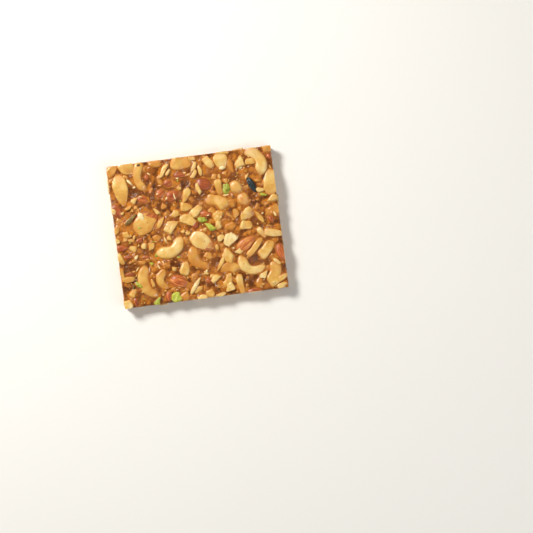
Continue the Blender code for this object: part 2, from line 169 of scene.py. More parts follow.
SKINNED = (
    Nut(37.2, -18.0, 20.0, 10.4, 33, 0.6, 0.22),
    Nut(-19.0, -42.2, 19.5, 11.0, -25, 0.4, 0.30),
    Nut(64.0, -29.5, 17.0, 8.5, -76, 0.3, 0.60),
    Nut(10.0, 33.0, 16.0, 11.0, -28, 0.2, 0.85),
    Nut(35.2, 27.0, 14.0, 10.6, -55, 0.3, 0.04),
    Nut(39.7, 16.8, 13.5, 10.5, -58, 0.3, 0.10),
    Nut(-16.5, 27.5, 13.0, 10.0, 20, 0.1, 0.70),
    Nut(-62.3, 20.5, 16.0, 9.5, -62, 0.2, 0.75),
    Nut(-8.3, 43.0, 12.0, 5.0, -4, 0.0, 0.70),
    Nut(-18.5, 38.0, 9.0, 7.0, 10, -0.2, 0.50),
    Nut(-35.2, 45.2, 6.5, 4.2, 80, 0.0, 0.65),
    Nut(-30.0, -51.3, 9.5, 5.5, 85, -0.2, 0.50),
    Nut(39.5, -56.4, 14.0, 4.4, 2, 0.0, 0.65),
    Nut(-57.3, -16.7, 8.5, 3.0, 4, 0.2, 0.80),
    Nut(-62.5, -9.0, 10.5, 5.6, -5, 0.0, 0.70),
    Nut(4.0, -43.8, 7.5, 5.0, -20, -0.2, 0.70),
    Nut(8.2, 9.6, 11.0, 5.5, -15, 0.0, 0.60),
    Nut(64.3, 48.5, 5.5, 4.5, -60, 0.0, 0.70),
    Nut(-25.5, 31.0, 10.0, 8.0, 30, -0.5, 0.60),
    Nut(-40.0, 27.5, 12.5, 7.0, -15, -0.5, 0.60),
    Nut(59.5, -1.5, 7.0, 4.5, -60, -0.3, 0.45),
    Nut(-1.2, 1.8, 7.0, 5.5, 55, 0.0, 0.85),
    Nut(-56.6, -53.5, 9.0, 3.5, -80, 0.1, 0.75),
)
BROKEN = (
    Nut(-62.6, 53.2, 9.5, 8.5, 10, -0.4, 0.80),
    Nut(-27.3, 54.6, 10.5, 7.0, -10, 0.0, 0.85),
    Nut(-21.5, 47.8, 14.5, 4.6, 56, 0.3, 0.30),
    Nut(-18.0, 46.3, 6.5, 2.8, 50, 0.2, 0.30),
    Nut(-47.6, 27.7, 5.5, 5.0, 40, 0.2, 0.25),
    Nut(-53.0, 22.5, 6.5, 3.0, 25, 0.2, 0.45),
    Nut(-6.2, 26.8, 12.0, 7.0, 60, 0.3, 0.50),
    Nut(-7.3, 18.2, 10.5, 8.5, 20, 0.1, 0.60),
    Nut(-11.0, 32.8, 4.0, 4.0, 0, -0.2, 0.60),
    Nut(-31.2, 17.0, 6.5, 3.5, -55, 0.1, 0.45),
    Nut(-16.0, 13.0, 9.0, 5.8, 24, 0.1, 0.55),
    Nut(-7.0, 6.7, 13.5, 8.5, -14, 0.3, 0.40),
    Nut(-21.5, 2.6, 15.5, 9.0, 33, 0.4, 0.35),
    Nut(-64.2, 5.8, 7.5, 5.0, 75, 0.2, 0.60),
    Nut(-56.8, 1.0, 9.5, 7.0, -38, 0.2, 0.45),
    Nut(3.6, 47.8, 9.0, 3.4, 65, 0.2, 0.40),
    Nut(2.3, 42.0, 8.8, 3.6, 56, 0.1, 0.40),
    Nut(8.0, 45.0, 9.2, 3.3, -78, 0.3, 0.25),
    Nut(27.5, 57.0, 10.0, 3.4, 0, 0.1, 0.45),
    Nut(40.5, 47.0, 11.5, 8.0, 76, 0.5, 0.30),
    Nut(48.5, 46.5, 8.0, 6.0, 0, -0.2, 0.60),
    Nut(63.0, 54.8, 8.6, 7.4, -5, 0.0, 0.80),
    Nut(44.3, 35.6, 5.6, 3.0, 55, 0.3, 0.20),
    Nut(53.6, 22.6, 7.4, 4.8, -5, 0.2, 0.10),
    Nut(52.0, 30.8, 5.8, 2.6, -18, 0.0, 0.80),
    Nut(62.2, 14.9, 10.0, 6.2, 5, 0.1, 0.50),
    Nut(4.6, 30.4, 9.4, 4.2, -76, 0.6, 0.25),
    Nut(18.0, 38.5, 6.5, 4.5, 0, -0.2, 0.80),
    Nut(22.5, 38.0, 4.5, 2.6, 80, 0.0, 0.45),
    Nut(27.0, 33.4, 5.2, 4.2, 0, -0.1, 0.75),
    Nut(29.0, 15.8, 9.0, 8.0, -60, -0.5, 0.95),
    Nut(11.2, 12.0, 10.0, 8.5, 20, -0.5, 0.90),
    Nut(19.8, 6.5, 13.5, 10.0, 15, 0.1, 0.65),
    Nut(17.0, -0.2, 8.5, 7.0, 40, 0.4, 0.40),
    Nut(31.5, 6.5, 7.0, 6.0, 70, 0.0, 0.60),
    Nut(42.0, 5.6, 15.5, 9.5, 12, 0.4, 0.35),
    Nut(49.5, 3.2, 14.0, 4.2, -60, 0.1, 0.55),
    Nut(50.4, 9.6, 6.0, 5.0, 60, -0.4, 0.90),
    Nut(61.5, 4.5, 12.5, 11.5, 0, -0.4, 0.95),
    Nut(32.3, 45.0, 13.0, 6.0, -80, -0.4, 0.95),
    Nut(-65.4, -2.8, 4.5, 4.2, 0, 0.1, 0.45),
    Nut(-53.5, -10.8, 7.4, 6.0, 20, 0.2, 0.30),
    Nut(-44.0, -9.7, 5.2, 5.0, 0, 0.2, 0.25),
    Nut(-39.0, -11.0, 6.6, 5.0, 80, 0.0, 0.60),
    Nut(-23.0, -6.0, 4.6, 4.0, 0, 0.1, 0.50),
    Nut(-12.0, -2.0, 3.8, 2.8, 0, 0.1, 0.35),
    Nut(-8.2, -3.8, 4.8, 3.6, 20, 0.1, 0.45),
    Nut(-65.6, -28.2, 11.0, 5.0, -70, 0.1, 0.60),
    Nut(-48.5, -22.4, 8.5, 5.2, -10, -0.4, 0.70),
    Nut(-60.0, -34.7, 10.0, 4.6, 0, 0.2, 0.55),
    Nut(-41.2, -40.6, 7.8, 3.2, -65, 0.3, 0.45),
    Nut(-22.4, -30.8, 5.4, 4.2, 10, 0.1, 0.50),
    Nut(-16.7, -54.0, 8.5, 7.5, 60, -0.4, 0.90),
    Nut(-5.6, -50.2, 8.5, 6.5, 30, -0.2, 0.65),
    Nut(-3.6, -56.2, 8.5, 4.4, 3, 0.3, 0.30),
    Nut(17.0, -11.5, 7.0, 6.4, 60, 0.3, 0.25),
    Nut(21.7, -26.7, 13.0, 8.4, -58, 0.2, 0.50),
    Nut(14.2, -31.8, 12.5, 4.2, 50, 0.2, 0.45),
    Nut(5.2, -24.0, 9.5, 6.2, 0, -0.3, 0.80),
    Nut(13.3, -18.2, 6.2, 2.6, 85, 0.0, 0.55),
    Nut(2.7, -37.0, 4.6, 4.2, 60, 0.2, 0.30),
    Nut(9.6, -42.6, 9.5, 6.0, 16, 0.3, 0.30),
    Nut(3.0, -54.8, 8.0, 7.0, 40, 0.1, 0.55),
    Nut(10.6, -56.4, 10.0, 3.8, 2, 0.3, 0.25),
    Nut(60.2, -36.0, 8.2, 3.0, -56, 0.4, 0.15),
    Nut(61.8, -55.6, 10.0, 5.6, 3, 0.4, 0.30),
    Nut(43.4, -50.0, 9.0, 6.5, 80, -0.3, 0.85),
    Nut(26.5, -3.2, 11.0, 6.5, 10, -0.4, 0.90),
    Nut(34.6, -21.4, 15.0, 4.6, 32, 0.0, 0.15),
)
PALE_BLOCKS = (
    Nut(25.2, -13.2, 12.4, 10.4, 66, 0.5, 0.35),
    Nut(20.8, -51.6, 9.4, 8.0, 66, 0.6, 0.75),
    Nut(48.0, -44.3, 7.8, 5.0, 58, 0.6, 0.50),
    Nut(-62.4, -54.4, 9.0, 8.2, 0, 0.5, 0.70),
)
PISTACHIOS = (
    Nut(26.5, 27.2, 8.8, 7.0, 62, 0.6, 0.30),
    Nut(4.8, 5.0, 8.2, 5.0, -10, 0.5, 0.40),
    Nut(10.0, -1.2, 11.0, 5.0, -47, 0.6, 0.75),
    Nut(55.2, 18.8, 6.8, 3.0, -30, 0.4, 0.70),
    Nut(-52.0, -40.6, 7.8, 4.2, -34, 0.6, 0.35),
    Nut(-24.2, -53.0, 10.4, 8.0, 85, 0.5, 1.00),
    Nut(-39.3, -55.0, 8.4, 4.6, 55, 0.5, 0.50),
)
MELON_SEEDS = (
    Nut(-7.6, -46.4, 15.8, 3.6, 53, 0.7, 0.40),
    Nut(-43.4, 13.6, 8.6, 4.8, -64, 1.0, 0.05),
    Nut(-49.3, 42.5, 6.6, 2.2, -50, 0.5, 0.05),
    Nut(-64.8, 21.0, 6.8, 4.0, -75, 0.5, 0.55),
    Nut(26.0, 44.5, 5.8, 3.2, 4, 0.5, 0.10),
    Nut(-51.7, -17.6, 4.5, 2.5, 50, 0.6, 0.05),
)
DARK_FRUIT = (Nut(47.5, 27.5, 14.2, 5.0, -67, 0.7, 0.50),)
HUSKS = (
    Nut(-52.3, 13.0, 13.5, 2.8, 38, 0.8, 0.40),
    Nut(-40.3, 55.4, 3.6, 2.2, 10, 0.5, 0.00),
    Nut(-56.8, -40.8, 4.2, 1.6, 75, 0.4, 0.20),
)
PUSHED_OUT = (
    Nut(-66.0, 42.2, 13.6, 7.0, 90, -3.0, 0.00),
    Nut(66.0, 13.2, 10.0, 7.0, 90, -3.0, 0.00),
    Nut(40.2, 57.2, 9.6, 7.0, 0, -3.0, 0.00),
    Nut(-35.5, -57.2, 8.5, 7.0, 0, -3.0, 0.00),
)


# Small things that lie on the nuts and the caramel, each with the height of its top above what it lies on.
SLIVERS = (
    Nut(-21.3, 26.5, 4.4, 1.6, 52, 0.35, 0.20),
    Nut(-15.2, 27.0, 6.2, 1.4, -80, 0.35, 0.20),
    Nut(-30.3, -25.6, 6.0, 1.5, -60, 0.4, 0.30),
    Nut(-27.0, -6.4, 5.0, 1.3, -75, 0.4, 0.30),
    Nut(-26.8, -35.0, 3.6, 1.1, 40, 0.3, 0.60),
    Nut(-51.8, -27.0, 4.6, 1.5, 42, 0.3, 0.60),
    Nut(-46.4, 38.0, 2.8, 1.6, 20, 0.4, 0.05),
    Nut(40.4, 42.9, 3.8, 2.6, 10, 0.2, 0.00),
    Nut(-10.8, 41.2, 2.6, 2.0, 30, 0.3, 0.10),
    Nut(-8.6, 40.4, 2.2, 1.6, -20, 0.3, 0.00),
    Nut(-5.4, 44.4, 4.6, 1.6, 10, 0.3, 0.20),
    Nut(-33.2, 47.4, 3.4, 1.4, -35, 0.3, 0.20),
    Nut(-28.4, 30.6, 2.6, 1.5, 20, 0.3, 0.20),
    Nut(-42.0, 30.2, 2.8, 1.2, -20, 0.3, 0.60),
    Nut(26.3, -20.4, 1.9, 1.5, 0, 0.4, 0.00),
    Nut(-24.6, -46.6, 2.4, 1.4, 70, 0.4, 0.10),
    Nut(-23.0, -47.6, 2.0, 1.3, 30, 0.4, 0.10),
    # A pale chip that also stands in for glints here: partly a painted highlight.
    Nut(-20.6, -46.2, 2.6, 1.0, -10, 0.3, 0.10),
    Nut(62.8, 2.6, 4.4, 1.7, -75, 0.3, 0.40),
    Nut(52.8, 4.2, 3.0, 1.4, 35, 0.3, 0.40),
    Nut(2.6, -36.0, 2.4, 1.8, 50, 0.25, 0.00),
    Nut(-64.6, 21.4, 2.6, 1.4, 80, 0.2, 0.10),
    Nut(26.4, 22.4, 5.5, 1.6, 3, 0.5, 0.20),
    Nut(9.6, 8.4, 2.0, 1.5, 0, 0.3, 0.00),
    Nut(11.0, 11.2, 3.2, 1.0, 10, 0.3, 0.00),
    Nut(-41.0, -32.4, 3.0, 1.2, 50, 0.35, 0.30),
    Nut(-34.6, -27.8, 4.0, 1.6, -75, 0.4, 0.50),
    Nut(18.2, 8.6, 1.6, 1.2, 0, 0.2, 0.10),
    Nut(20.4, 9.0, 1.4, 1.1, 40, 0.2, 0.10),
    Nut(21.6, 7.2, 1.5, 1.0, 80, 0.2, 0.10),
    Nut(17.2, 6.4, 1.2, 1.0, 0, 0.2, 0.10),
    Nut(19.6, 5.6, 1.8, 1.2, 20, 0.2, 0.10),
)
GREEN_BITS = (
    Nut(-35.7, -18.1, 3.2, 2.6, 80, 0.5, 0.30),
    Nut(-40.6, -24.2, 3.6, 2.5, -25, 0.5, 0.90),
    Nut(-18.4, -22.0, 3.4, 1.6, 5, 0.4, 0.50),
    Nut(-46.1, 5.4, 2.4, 2.0, 30, 0.3, 0.40),
    Nut(-36.4, -7.0, 4.3, 1.3, 4, 0.3, 0.00),
    Nut(-55.2, -5.4, 1.8, 1.2, 20, 0.3, 0.60),
    Nut(-50.4, -51.4, 1.7, 1.3, 0, 0.3, 0.50),
)
NUT_BITS = (
    Nut(-58.5, 18.8, 3.6, 3.0, 20, 0.7, 0.30),
    Nut(-50.5, 19.6, 3.8, 3.0, 40, 0.7, 0.35),
    Nut(-47.4, 21.9, 4.2, 3.2, 10, 0.7, 0.30),
    Nut(-45.2, 19.6, 3.0, 2.2, 70, 0.7, 0.40),
    Nut(-1.5, 42.6, 4.4, 2.5, 10, 0.7, 0.25),
    Nut(2.6, 55.0, 6.5, 5.0, -30, 0.9, 0.35),
    Nut(9.5, 52.6, 6.0, 4.2, 30, 0.5, 0.75),
    Nut(26.8, 39.2, 5.0, 4.4, 0, 0.7, 0.85),
    Nut(50.5, 15.8, 4.0, 2.4, 20, 0.6, 0.90),
    Nut(36.0, 10.4, 4.2, 4.0, 50, 0.8, 0.85),
    Nut(5.2, -2.6, 5.0, 4.0, 15, 0.8, 0.35),
    Nut(57.5, -6.5, 5.0, 2.0, -15, 0.7, 0.40),
    Nut(10.8, -23.6, 2.8, 2.6, 0, 0.7, 0.95),
    Nut(6.2, -40.2, 4.2, 3.0, 30, 0.8, 0.30),
    Nut(18.0, -41.2, 2.6, 2.2, 0, 0.6, 0.80),
    Nut(21.0, -41.4, 3.0, 2.2, 60, 0.6, 0.50),
    Nut(45.8, -52.4, 3.0, 2.8, 0, 0.7, 0.30),
    Nut(54.8, -52.0, 4.6, 2.5, 10, 0.7, 0.35),
    Nut(-58.8, -2.6, 5.0, 3.6, 30, 0.8, 0.40),
    Nut(-54.0, -3.6, 6.0, 3.0, -10, 0.8, 0.45),
    Nut(-51.4, -1.2, 4.0, 3.0, 50, 0.8, 0.35),
    Nut(-33.2, -4.4, 8.5, 5.5, -10, 0.9, 0.85),
    Nut(-42.6, -20.6, 3.5, 2.6, 10, 0.8, 0.30),
    Nut(-55.2, -28.5, 2.6, 2.0, 0, 0.6, 0.30),
    Nut(-12.0, -19.6, 2.6, 2.2, 0, 0.6, 0.30),
    Nut(-34.2, -50.4, 2.0, 1.8, 0, 0.6, 0.30),
)
SKIN_BITS = (
    Nut(-57.8, 12.6, 3.4, 3.0, 60, 0.7, 0.50),
    Nut(-47.3, -4.8, 6.5, 4.4, 15, 0.8, 0.70),
    Nut(-45.0, -18.4, 8.0, 3.2, -8, 0.8, 0.70),
    Nut(-58.8, -30.3, 8.0, 3.0, -5, 0.7, 0.80),
    Nut(-43.7, -40.3, 5.0, 1.3, -60, 0.5, 0.60),
)
SKIN_SPECKS = (
    Nut(-38.6, 12.0, 1.2, 0.9, 20, 0.12, 0.9),
    Nut(-39.2, 8.6, 1.4, 0.9, 60, 0.12, 0.9),
    Nut(-44.4, 5.3, 1.3, 1.0, -40, 0.12, 0.9),
    Nut(-33.2, 12.6, 1.1, 0.7, 10, 0.12, 0.9),
    Nut(4.2, -12.1, 1.0, 0.8, 0, 0.12, 0.9),
    Nut(37.1, -38.6, 1.2, 0.9, 0, 0.12, 0.9),
    Nut(32.8, -34.2, 1.5, 1.0, 30, 0.12, 0.7),
    Nut(54.8, -20.0, 1.7, 0.9, 60, 0.12, 0.7),
)


class Pocket(NamedTuple):
    """A dark place where the caramel is clear and deep, with no nut just under it: place and radius in mm."""

    x: float
    y: float
    radius: float


POCKETS = (
    Pocket(-48.0, 33.8, 3.4),
    Pocket(41.4, -32.4, 4.2),
    Pocket(-58.5, -23.5, 4.2),
    Pocket(11.3, -9.5, 2.6),
    Pocket(34.0, 35.5, 3.2),
    Pocket(47.8, 15.5, 3.4),
    Pocket(3.4, 23.4, 3.4),
    Pocket(10.0, -30.0, 3.0),
    Pocket(-22.0, -25.5, 3.0),
    Pocket(33.5, -47.5, 3.6),
    Pocket(-44.6, -14.0, 2.5),
    Pocket(-4.5, 36.6, 3.0),
)


def in_pocket(x, y, clearance):
    """Whether a place lies in a dark pocket, or nearer to one than the clearance in mm."""
    return any(math.hypot(x - pocket.x, y - pocket.y) < pocket.radius + clearance for pocket in POCKETS)


def pocket_depth(plan):
    """How deep in a pocket each plan point in mm lies, from 0 outside to 1 in its middle."""
    depth = np.zeros(len(plan))
    for pocket in POCKETS:
        away = np.linalg.norm(plan - (pocket.x, pocket.y), axis=1)
        depth = np.maximum(depth, np.exp(-((away / pocket.radius) ** 4)))
    return depth


class Strand(NamedTuple):
    """A thread of caramel pulled up in the rolling: its ends, and its height and half width in mm."""

    start: tuple
    end: tuple
    height: float
    width: float


STRANDS = (
    Strand((-31.6, 39.5), (-32.6, 23.5), 0.9, 0.7),
    Strand((33.6, 50.0), (34.6, 36.5), 0.7, 0.6),
    Strand((16.0, 10.0), (13.8, 15.2), 0.5, 0.6),
)


def linear(hex_colour):
    """An sRGB hex colour as linear red, green, blue and full alpha."""
    channels = [int(hex_colour[i : i + 2], 16) / 255 for i in (1, 3, 5)]
    return (*((c / 12.92 if c <= 0.04045 else ((c + 0.055) / 1.055) ** 2.4) for c in channels), 1.0)


def length_property(name, description, millimetres):
    """A size that a user may change."""
    return FloatProperty(name=name, description=description, default=millimetres * MM, unit="LENGTH")


def colour_property(name, description, hex_colour):
    """A colour that a user may change."""
    return FloatVectorProperty(
        name=name, description=description, default=linear(hex_colour), size=4, subtype="COLOR", min=0, max=1
    )


class BrittleSizes(bpy.types.PropertyGroup):
    """Sizes of what is made around the nuts."""

    dip: length_property("Caramel dip", "How far the caramel lies below the rolled tops of the nuts", 1.5)
    swell: length_property("Caramel swell", "How far the caramel rises and falls between the nuts", 0.45)
    wave: length_property("Wave length", "Distance from one rise of the caramel to the next", 17.0)
    climb: length_property("Climb", "How far from a nut the caramel starts to climb up it", 0.5)
    film: length_property("Film", "How far below a nut's top the climbing caramel stops", 0.5)
    soak: length_property("Soak", "Height above the caramel over which a nut's sides turn amber", 1.9)
    setback: length_property("Setback", "How far the caramel's sides stand back from the knife's cut", 0.3)
    edge: length_property("Edge", "Radius of the caramel's upper and lower edges", 0.8)
    grid: length_property("Grid", "Spacing of the caramel's points", 0.5)
    crumb: length_property("Crumb", "Length of a nut crumb", 1.5)
    coated_bits: IntProperty(name="Coated bits", description="Nut bits half sunk in the caramel", default=150)
    sunk_bits: IntProperty(name="Sunk bits", description="Nut bits just under the caramel", default=250)


class BrittleColours(bpy.types.PropertyGroup):
    """Colours of the nuts and the caramel."""

    nut_pale: colour_property("Pale nut", "Bare flesh of a nut that is hardly toasted", "#EDCF8A")
    nut_golden: colour_property("Golden nut", "Toasted flesh of a cashew or an almond", "#E2B359")
    nut_amber: colour_property("Amber nut", "Flesh seen through a film of caramel", "#C6802A")
    nut_cut: colour_property("Cut nut", "Flesh where the knife went through", "#E2C68C")
    skin_dark: colour_property("Dark skin", "Furrows of an almond's skin", "#8C380C")
    skin_light: colour_property("Light skin", "Ridges of an almond's skin", "#E47C36")
    # caramel_deep also serves as the painted contact shadow at each nut's foot
    caramel_deep: colour_property("Deep caramel", "Caramel in the pits between the nuts", "#5E3010")
    caramel_mid: colour_property("Caramel", "Caramel a few millimetres deep", "#90521C")
    caramel_thin: colour_property("Thin caramel", "Caramel where it climbs over a nut", "#CC7E28")
    caramel_haze: colour_property("Caramel haze", "Caramel clouded by fine bubbles", "#9C5A28")
    pistachio_dark: colour_property("Dark pistachio", "Shaded green of a pistachio", "#868C1E")
    pistachio_light: colour_property("Light pistachio", "Bright green of a pistachio", "#BCC044")
    seed: colour_property("Seed", "Shelled melon seed", "#F6E2AC")
    fruit: colour_property("Dark fruit", "Dried black fruit", "#172226")
    fruit_ridge: colour_property("Fruit ridge", "Worn wrinkles of the dried fruit", "#212D30")
    husk: colour_property("Husk", "Dry husk of a seed", "#5E4018")
    husk_pale: colour_property("Pale husk", "Dry patches of the husk", "#A08A3C")
    stage: colour_property("Stage", "Pale floor", "#F4F3F1")
    stage_shade: colour_property("Stage shade", "Faint patches of the floor", "#E4E2DE")


def lumps(points, size, seed):
    """Smooth random swelling from about -1 to 1 at points in mm, with its swells about size apart."""
    rng = np.random.default_rng(seed)
    total = np.zeros(len(points))
    for _ in range(8):
        direction = rng.normal(size=3)
        direction /= np.linalg.norm(direction) * size * rng.uniform(0.7, 1.5)
        total += np.sin(points @ direction * 2 * math.pi + rng.uniform(0, 2 * math.pi))
    return total / 4


class Unevenness(NamedTuple):
    """Random swells: how high they are and how far apart in mm, and their seed."""

    height: float
    apart: float
    seed: int

    def at(self, points):
        """How high they are at points in mm."""
        return self.height * lumps(points, self.apart, self.seed)


def outward(points, centres):
    """Unit vectors from the centres to the points."""
    away = points - centres
    return away / np.maximum(np.linalg.norm(away, axis=1, keepdims=True), 1e-6)


def swollen(points, centres, size, amount, seed):
    """Moves points away from or towards their centres by lumps of that size and amount."""
    return points + outward(points, centres) * (lumps(points, size, seed) * amount)[:, None]


def on_floor(plan):
    """Plan points as points in space at no height."""
    return np.column_stack([plan, np.zeros(len(plan))])


def spaced(count):
    """Steps from nearly 0 to nearly 1 that are closer together at both ends."""
    return 0.5 - 0.5 * np.cos(np.pi * (np.arange(count) + 0.5) / count)


RINGS = 26  # rings of points along a cashew or an almond
CASHEW_SIDES = 28  # points in a cashew's ring
ALMOND_SIDES = 32  # points in an almond's ring
TIP_REACH = 0.25  # a tip lies past the last ring by this share of the ring's half width
TIP_CENTRE = 0.98  # a tip's centre lies just inside it
ROUND = 2.0  # the power of an elliptic section


def loft(path, half_widths, half_depths, sides, power_up):
    """A closed body round a plan path: its points, faces, grain (mm along and around it) and centres.

    Its section is an ellipse below. Above it is one where the power is 2, and flatter where it is more.
    """
    ahead = np.gradient(path, axis=0)
    ahead /= np.linalg.norm(ahead, axis=1, keepdims=True)
    across = np.stack([-ahead[:, 1], ahead[:, 0]], axis=1)
    angles = 2 * np.pi * (np.arange(sides) + 0.5) / sides
    cos, sin = np.cos(angles), np.sin(angles)
    power = np.where(sin > 0, power_up, ROUND)
    wide = np.sign(cos) * np.abs(cos) ** (2 / power)
    high = np.sign(sin) * np.abs(sin) ** (2 / power)
    rings = len(path)
    points = np.zeros((rings, sides, 3))
    sideways = (half_widths[:, None] * wide)[:, :, None]
    points[:, :, :2] = path[:, None, :] + across[:, None, :] * sideways
    points[:, :, 2] = half_depths[:, None] * high
    centres = np.zeros((rings, sides, 3))
    centres[:, :, :2] = path[:, None, :]
    along = np.concatenate([[0], np.cumsum(np.linalg.norm(np.diff(path, axis=0), axis=1))])
    grain = np.zeros((rings, sides, 2))
    grain[:, :, 0] = along[:, None]
    grain[:, :, 1] = half_widths.max() * np.where(angles > np.pi, 2 * np.pi - angles, angles)[None, :]
    ends = np.zeros((2, 3))
    ends[0, :2] = path[0] - ahead[0] * TIP_REACH * half_widths[0]
    ends[1, :2] = path[-1] + ahead[-1] * TIP_REACH * half_widths[-1]
    faces = []
    for i in range(rings - 1):
        for k in range(sides):
            n = (k + 1) % sides
            faces.append((i * sides + k, i * sides + n, (i + 1) * sides + n, (i + 1) * sides + k))
    first, last = rings * sides, rings * sides + 1
    for k in range(sides):
        n = (k + 1) % sides
        faces.append((first, n, k))
        faces.append((last, (rings - 1) * sides + k, (rings - 1) * sides + n))
    flat = points.reshape(-1, 3)
    return (
        np.vstack([flat, ends]),
        faces,
        np.vstack([grain.reshape(-1, 2), [[0, 0], [along[-1], 0]]]),
        np.vstack([centres.reshape(-1, 3), ends * TIP_CENTRE]),
    )


def cashew(length, width, depth, bend, seed, power_up=3.6):
    """A cashew curled towards +Y, fat at one end and thinner at the other."""
    straightest = 4
    half_turn = math.radians(max(bend, straightest)) / 2
    radius = (length - 0.75 * width) / (2 * math.sin(half_turn))
    sag = radius * (1 - math.cos(half_turn))
    overrun = 0.36 * width / radius
    t = spaced(RINGS)
    turn = (2 * t - 1) * (half_turn + overrun)
    path = np.stack([radius * np.sin(turn), radius * (1 - np.cos(turn)) - sag / 2], axis=1)
    round_end = (1 - np.abs(2 * t - 1) ** 5) ** 0.5
    fat = 1.0 + 0.12 * np.cos(np.pi * t) + 0.05 * np.sin(3 * np.pi * t + seed)
    half_widths = width / 2 * round_end * fat
    half_depths = depth / 2 * round_end * fat
    points, faces, grain, centres = loft(path, half_widths, half_depths, CASHEW_SIDES, power_up)
    points = swollen(points, centres, 7.0, 0.035 * width, seed)
    return swollen(points, centres, 2.4, 0.05, seed + 1), faces, grain


def almond(length, width, depth, seed, power_up=2.2, ridges=0.0):
    """An almond along X: broad and round behind, drawn to a point ahead, with ridges in its skin if asked."""
    t = spaced(RINGS)
    path = np.stack([(t - 0.5) * length, np.zeros(len(t))], axis=1)
    swell = np.sin(np.pi * t**0.76) ** 0.66
    half_depths = depth / 2 * swell**0.8
    points, faces, grain, centres = loft(path, width / 2 * swell, half_depths, ALMOND_SIDES, power_up)
    points = swollen(points, centres, 6.0, 0.02 * width, seed)
    if ridges:
        furrows = lumps(on_floor(grain * (0.07, 1.0)), 1.5, seed + 2)
        points = points + outward(points, centres) * (furrows * ridges)[:, None]
    return swollen(points, centres, 1.8, 0.04, seed + 1), faces, grain


def ball(level):
    """Directions and triangles of an evenly divided ball."""
    bm = bmesh.new()
    bmesh.ops.create_icosphere(bm, subdivisions=level, radius=1)
    directions = np.array([v.co[:] for v in bm.verts])
    faces = [tuple(v.index for v in face.verts) for face in bm.faces]
    bm.free()
    return directions / np.linalg.norm(directions, axis=1, keepdims=True), faces


BALLS = {level: ball(level) for level in (2, 3, 4)}


GOLDEN_ANGLE = np.pi * (3 - math.sqrt(5))  # turned by this from one to the next, directions spread evenly
NEAREST_SIDE = 0.58  # a broken bit's flat sides lie from this share of its radius out to its full radius
TOP_SIDE = 0.7  # its level top and bottom lie at this share
UNEVEN_SPREAD = 0.3  # how far its sides stray from an even spread


def broken(length, width, depth, rng, level=3, planes=9, sharpness=40.0, steepness=0.6):
    """A broken bit of nut: a level top, and steep flat sides that meet in slightly rounded edges."""
    directions, faces = BALLS[level]
    up = 1 - 2 * (np.arange(planes) + 0.5) / planes
    angle = rng.uniform(0, 2 * np.pi) + GOLDEN_ANGLE * np.arange(planes)
    flat = np.sqrt(1 - up * up)
    normals = np.stack([np.cos(angle) * flat, np.sin(angle) * flat, up], axis=1)
    normals += rng.normal(0, UNEVEN_SPREAD, normals.shape)
    normals = np.vstack([normals * (1, 1, steepness), [(0, 0, 1.0), (0, 0, -1.0)]])
    normals /= np.linalg.norm(normals, axis=1, keepdims=True)
    distances = np.append(rng.uniform(NEAREST_SIDE, 1.0, planes), (TOP_SIDE, TOP_SIDE))
    facing = np.maximum(directions @ normals.T / distances, 0)
    points = directions * ((facing**sharpness).sum(axis=1) ** (-1 / sharpness))[:, None]
    middle = (points.max(axis=0) + points.min(axis=0)) / 2
    points = (points - middle) / ((points.max(axis=0) - points.min(axis=0)) / 2)
    points = points * (length / 2, width / 2, depth / 2)
    seed = int(rng.integers(1 << 30))
    points = swollen(points, np.zeros(3), 2.6, 0.025 * width, seed)
    points = swollen(points, np.zeros(3), 1.6, 0.06, seed + 1)
    grain = points[:, :2] + rng.uniform(-20, 20, 2)
    return points, faces, grain


def turned(points, turn, tilt, pitch):
    """Points rolled about X by tilt, about Y by pitch, and turned on the floor, all in degrees."""
    spin = Matrix.Rotation(math.radians(turn), 3, "Z")
    roll = Matrix.Rotation(math.radians(tilt), 3, "X") @ Matrix.Rotation(math.radians(pitch), 3, "Y")
    return points @ np.array(spin @ roll).T


def new_object(name, data):
    """An object in the scene with this mesh, light or camera."""
    obj = bpy.data.objects.new(name, data)
    bpy.context.scene.collection.objects.link(obj)
    return obj


def write_on_points(mesh, name, values):
    """Writes one value for each point of a mesh, for its material or for the crumbs to read."""
    held = mesh.attributes.new(name, "FLOAT", "POINT")
    held.data.foreach_set("value", values.astype(np.float32))


SHARPEST_SMOOTH = math.radians(50)  # a steeper edge than this between two faces shows as an edge


class Heap:
    """Gathers closed pieces of one kind, in mm, with the grain and tone that their material reads."""

    def __init__(self):
        self.points = []
        self.faces = []
        self.grain = []
        self.tone = []
        self.count = 0

    def add(self, points, faces, grain, tone):
        """Adds one closed piece."""
        start = self.count
        self.faces += [tuple(i + start for i in face) for face in faces]
        self.points.append(points)
        self.grain.append(grain)
        self.tone.append(np.full(len(points), tone))
        self.count += len(points)

    def build(self, name, finish):
        """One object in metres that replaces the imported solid."""
        mesh = bpy.data.meshes.new(name)
        mesh.from_pydata((np.vstack(self.points) * MM).tolist(), [], self.faces)
        grain = np.vstack(self.grain) * MM
        corners = np.empty(len(mesh.loops), int)
        mesh.loops.foreach_get("vertex_index", corners)
        layer = mesh.uv_layers.new(name="grain")
        layer.uv.foreach_set("vector", grain[corners].astype(np.float32).ravel())
        write_on_points(mesh, "tone", np.concatenate(self.tone))
        write_on_points(mesh, "dip", np.zeros(self.count))
        mesh.shade_smooth()
        mesh.set_sharp_from_angle(angle=SHARPEST_SMOOTH)
        mesh.materials.append(finish)
        return dress(new_object(name, mesh))


def dress(obj):
    """Makes a finished piece ride with the slab and stand for its solid."""
    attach(obj, BODY)
    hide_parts(NODE)
    return obj


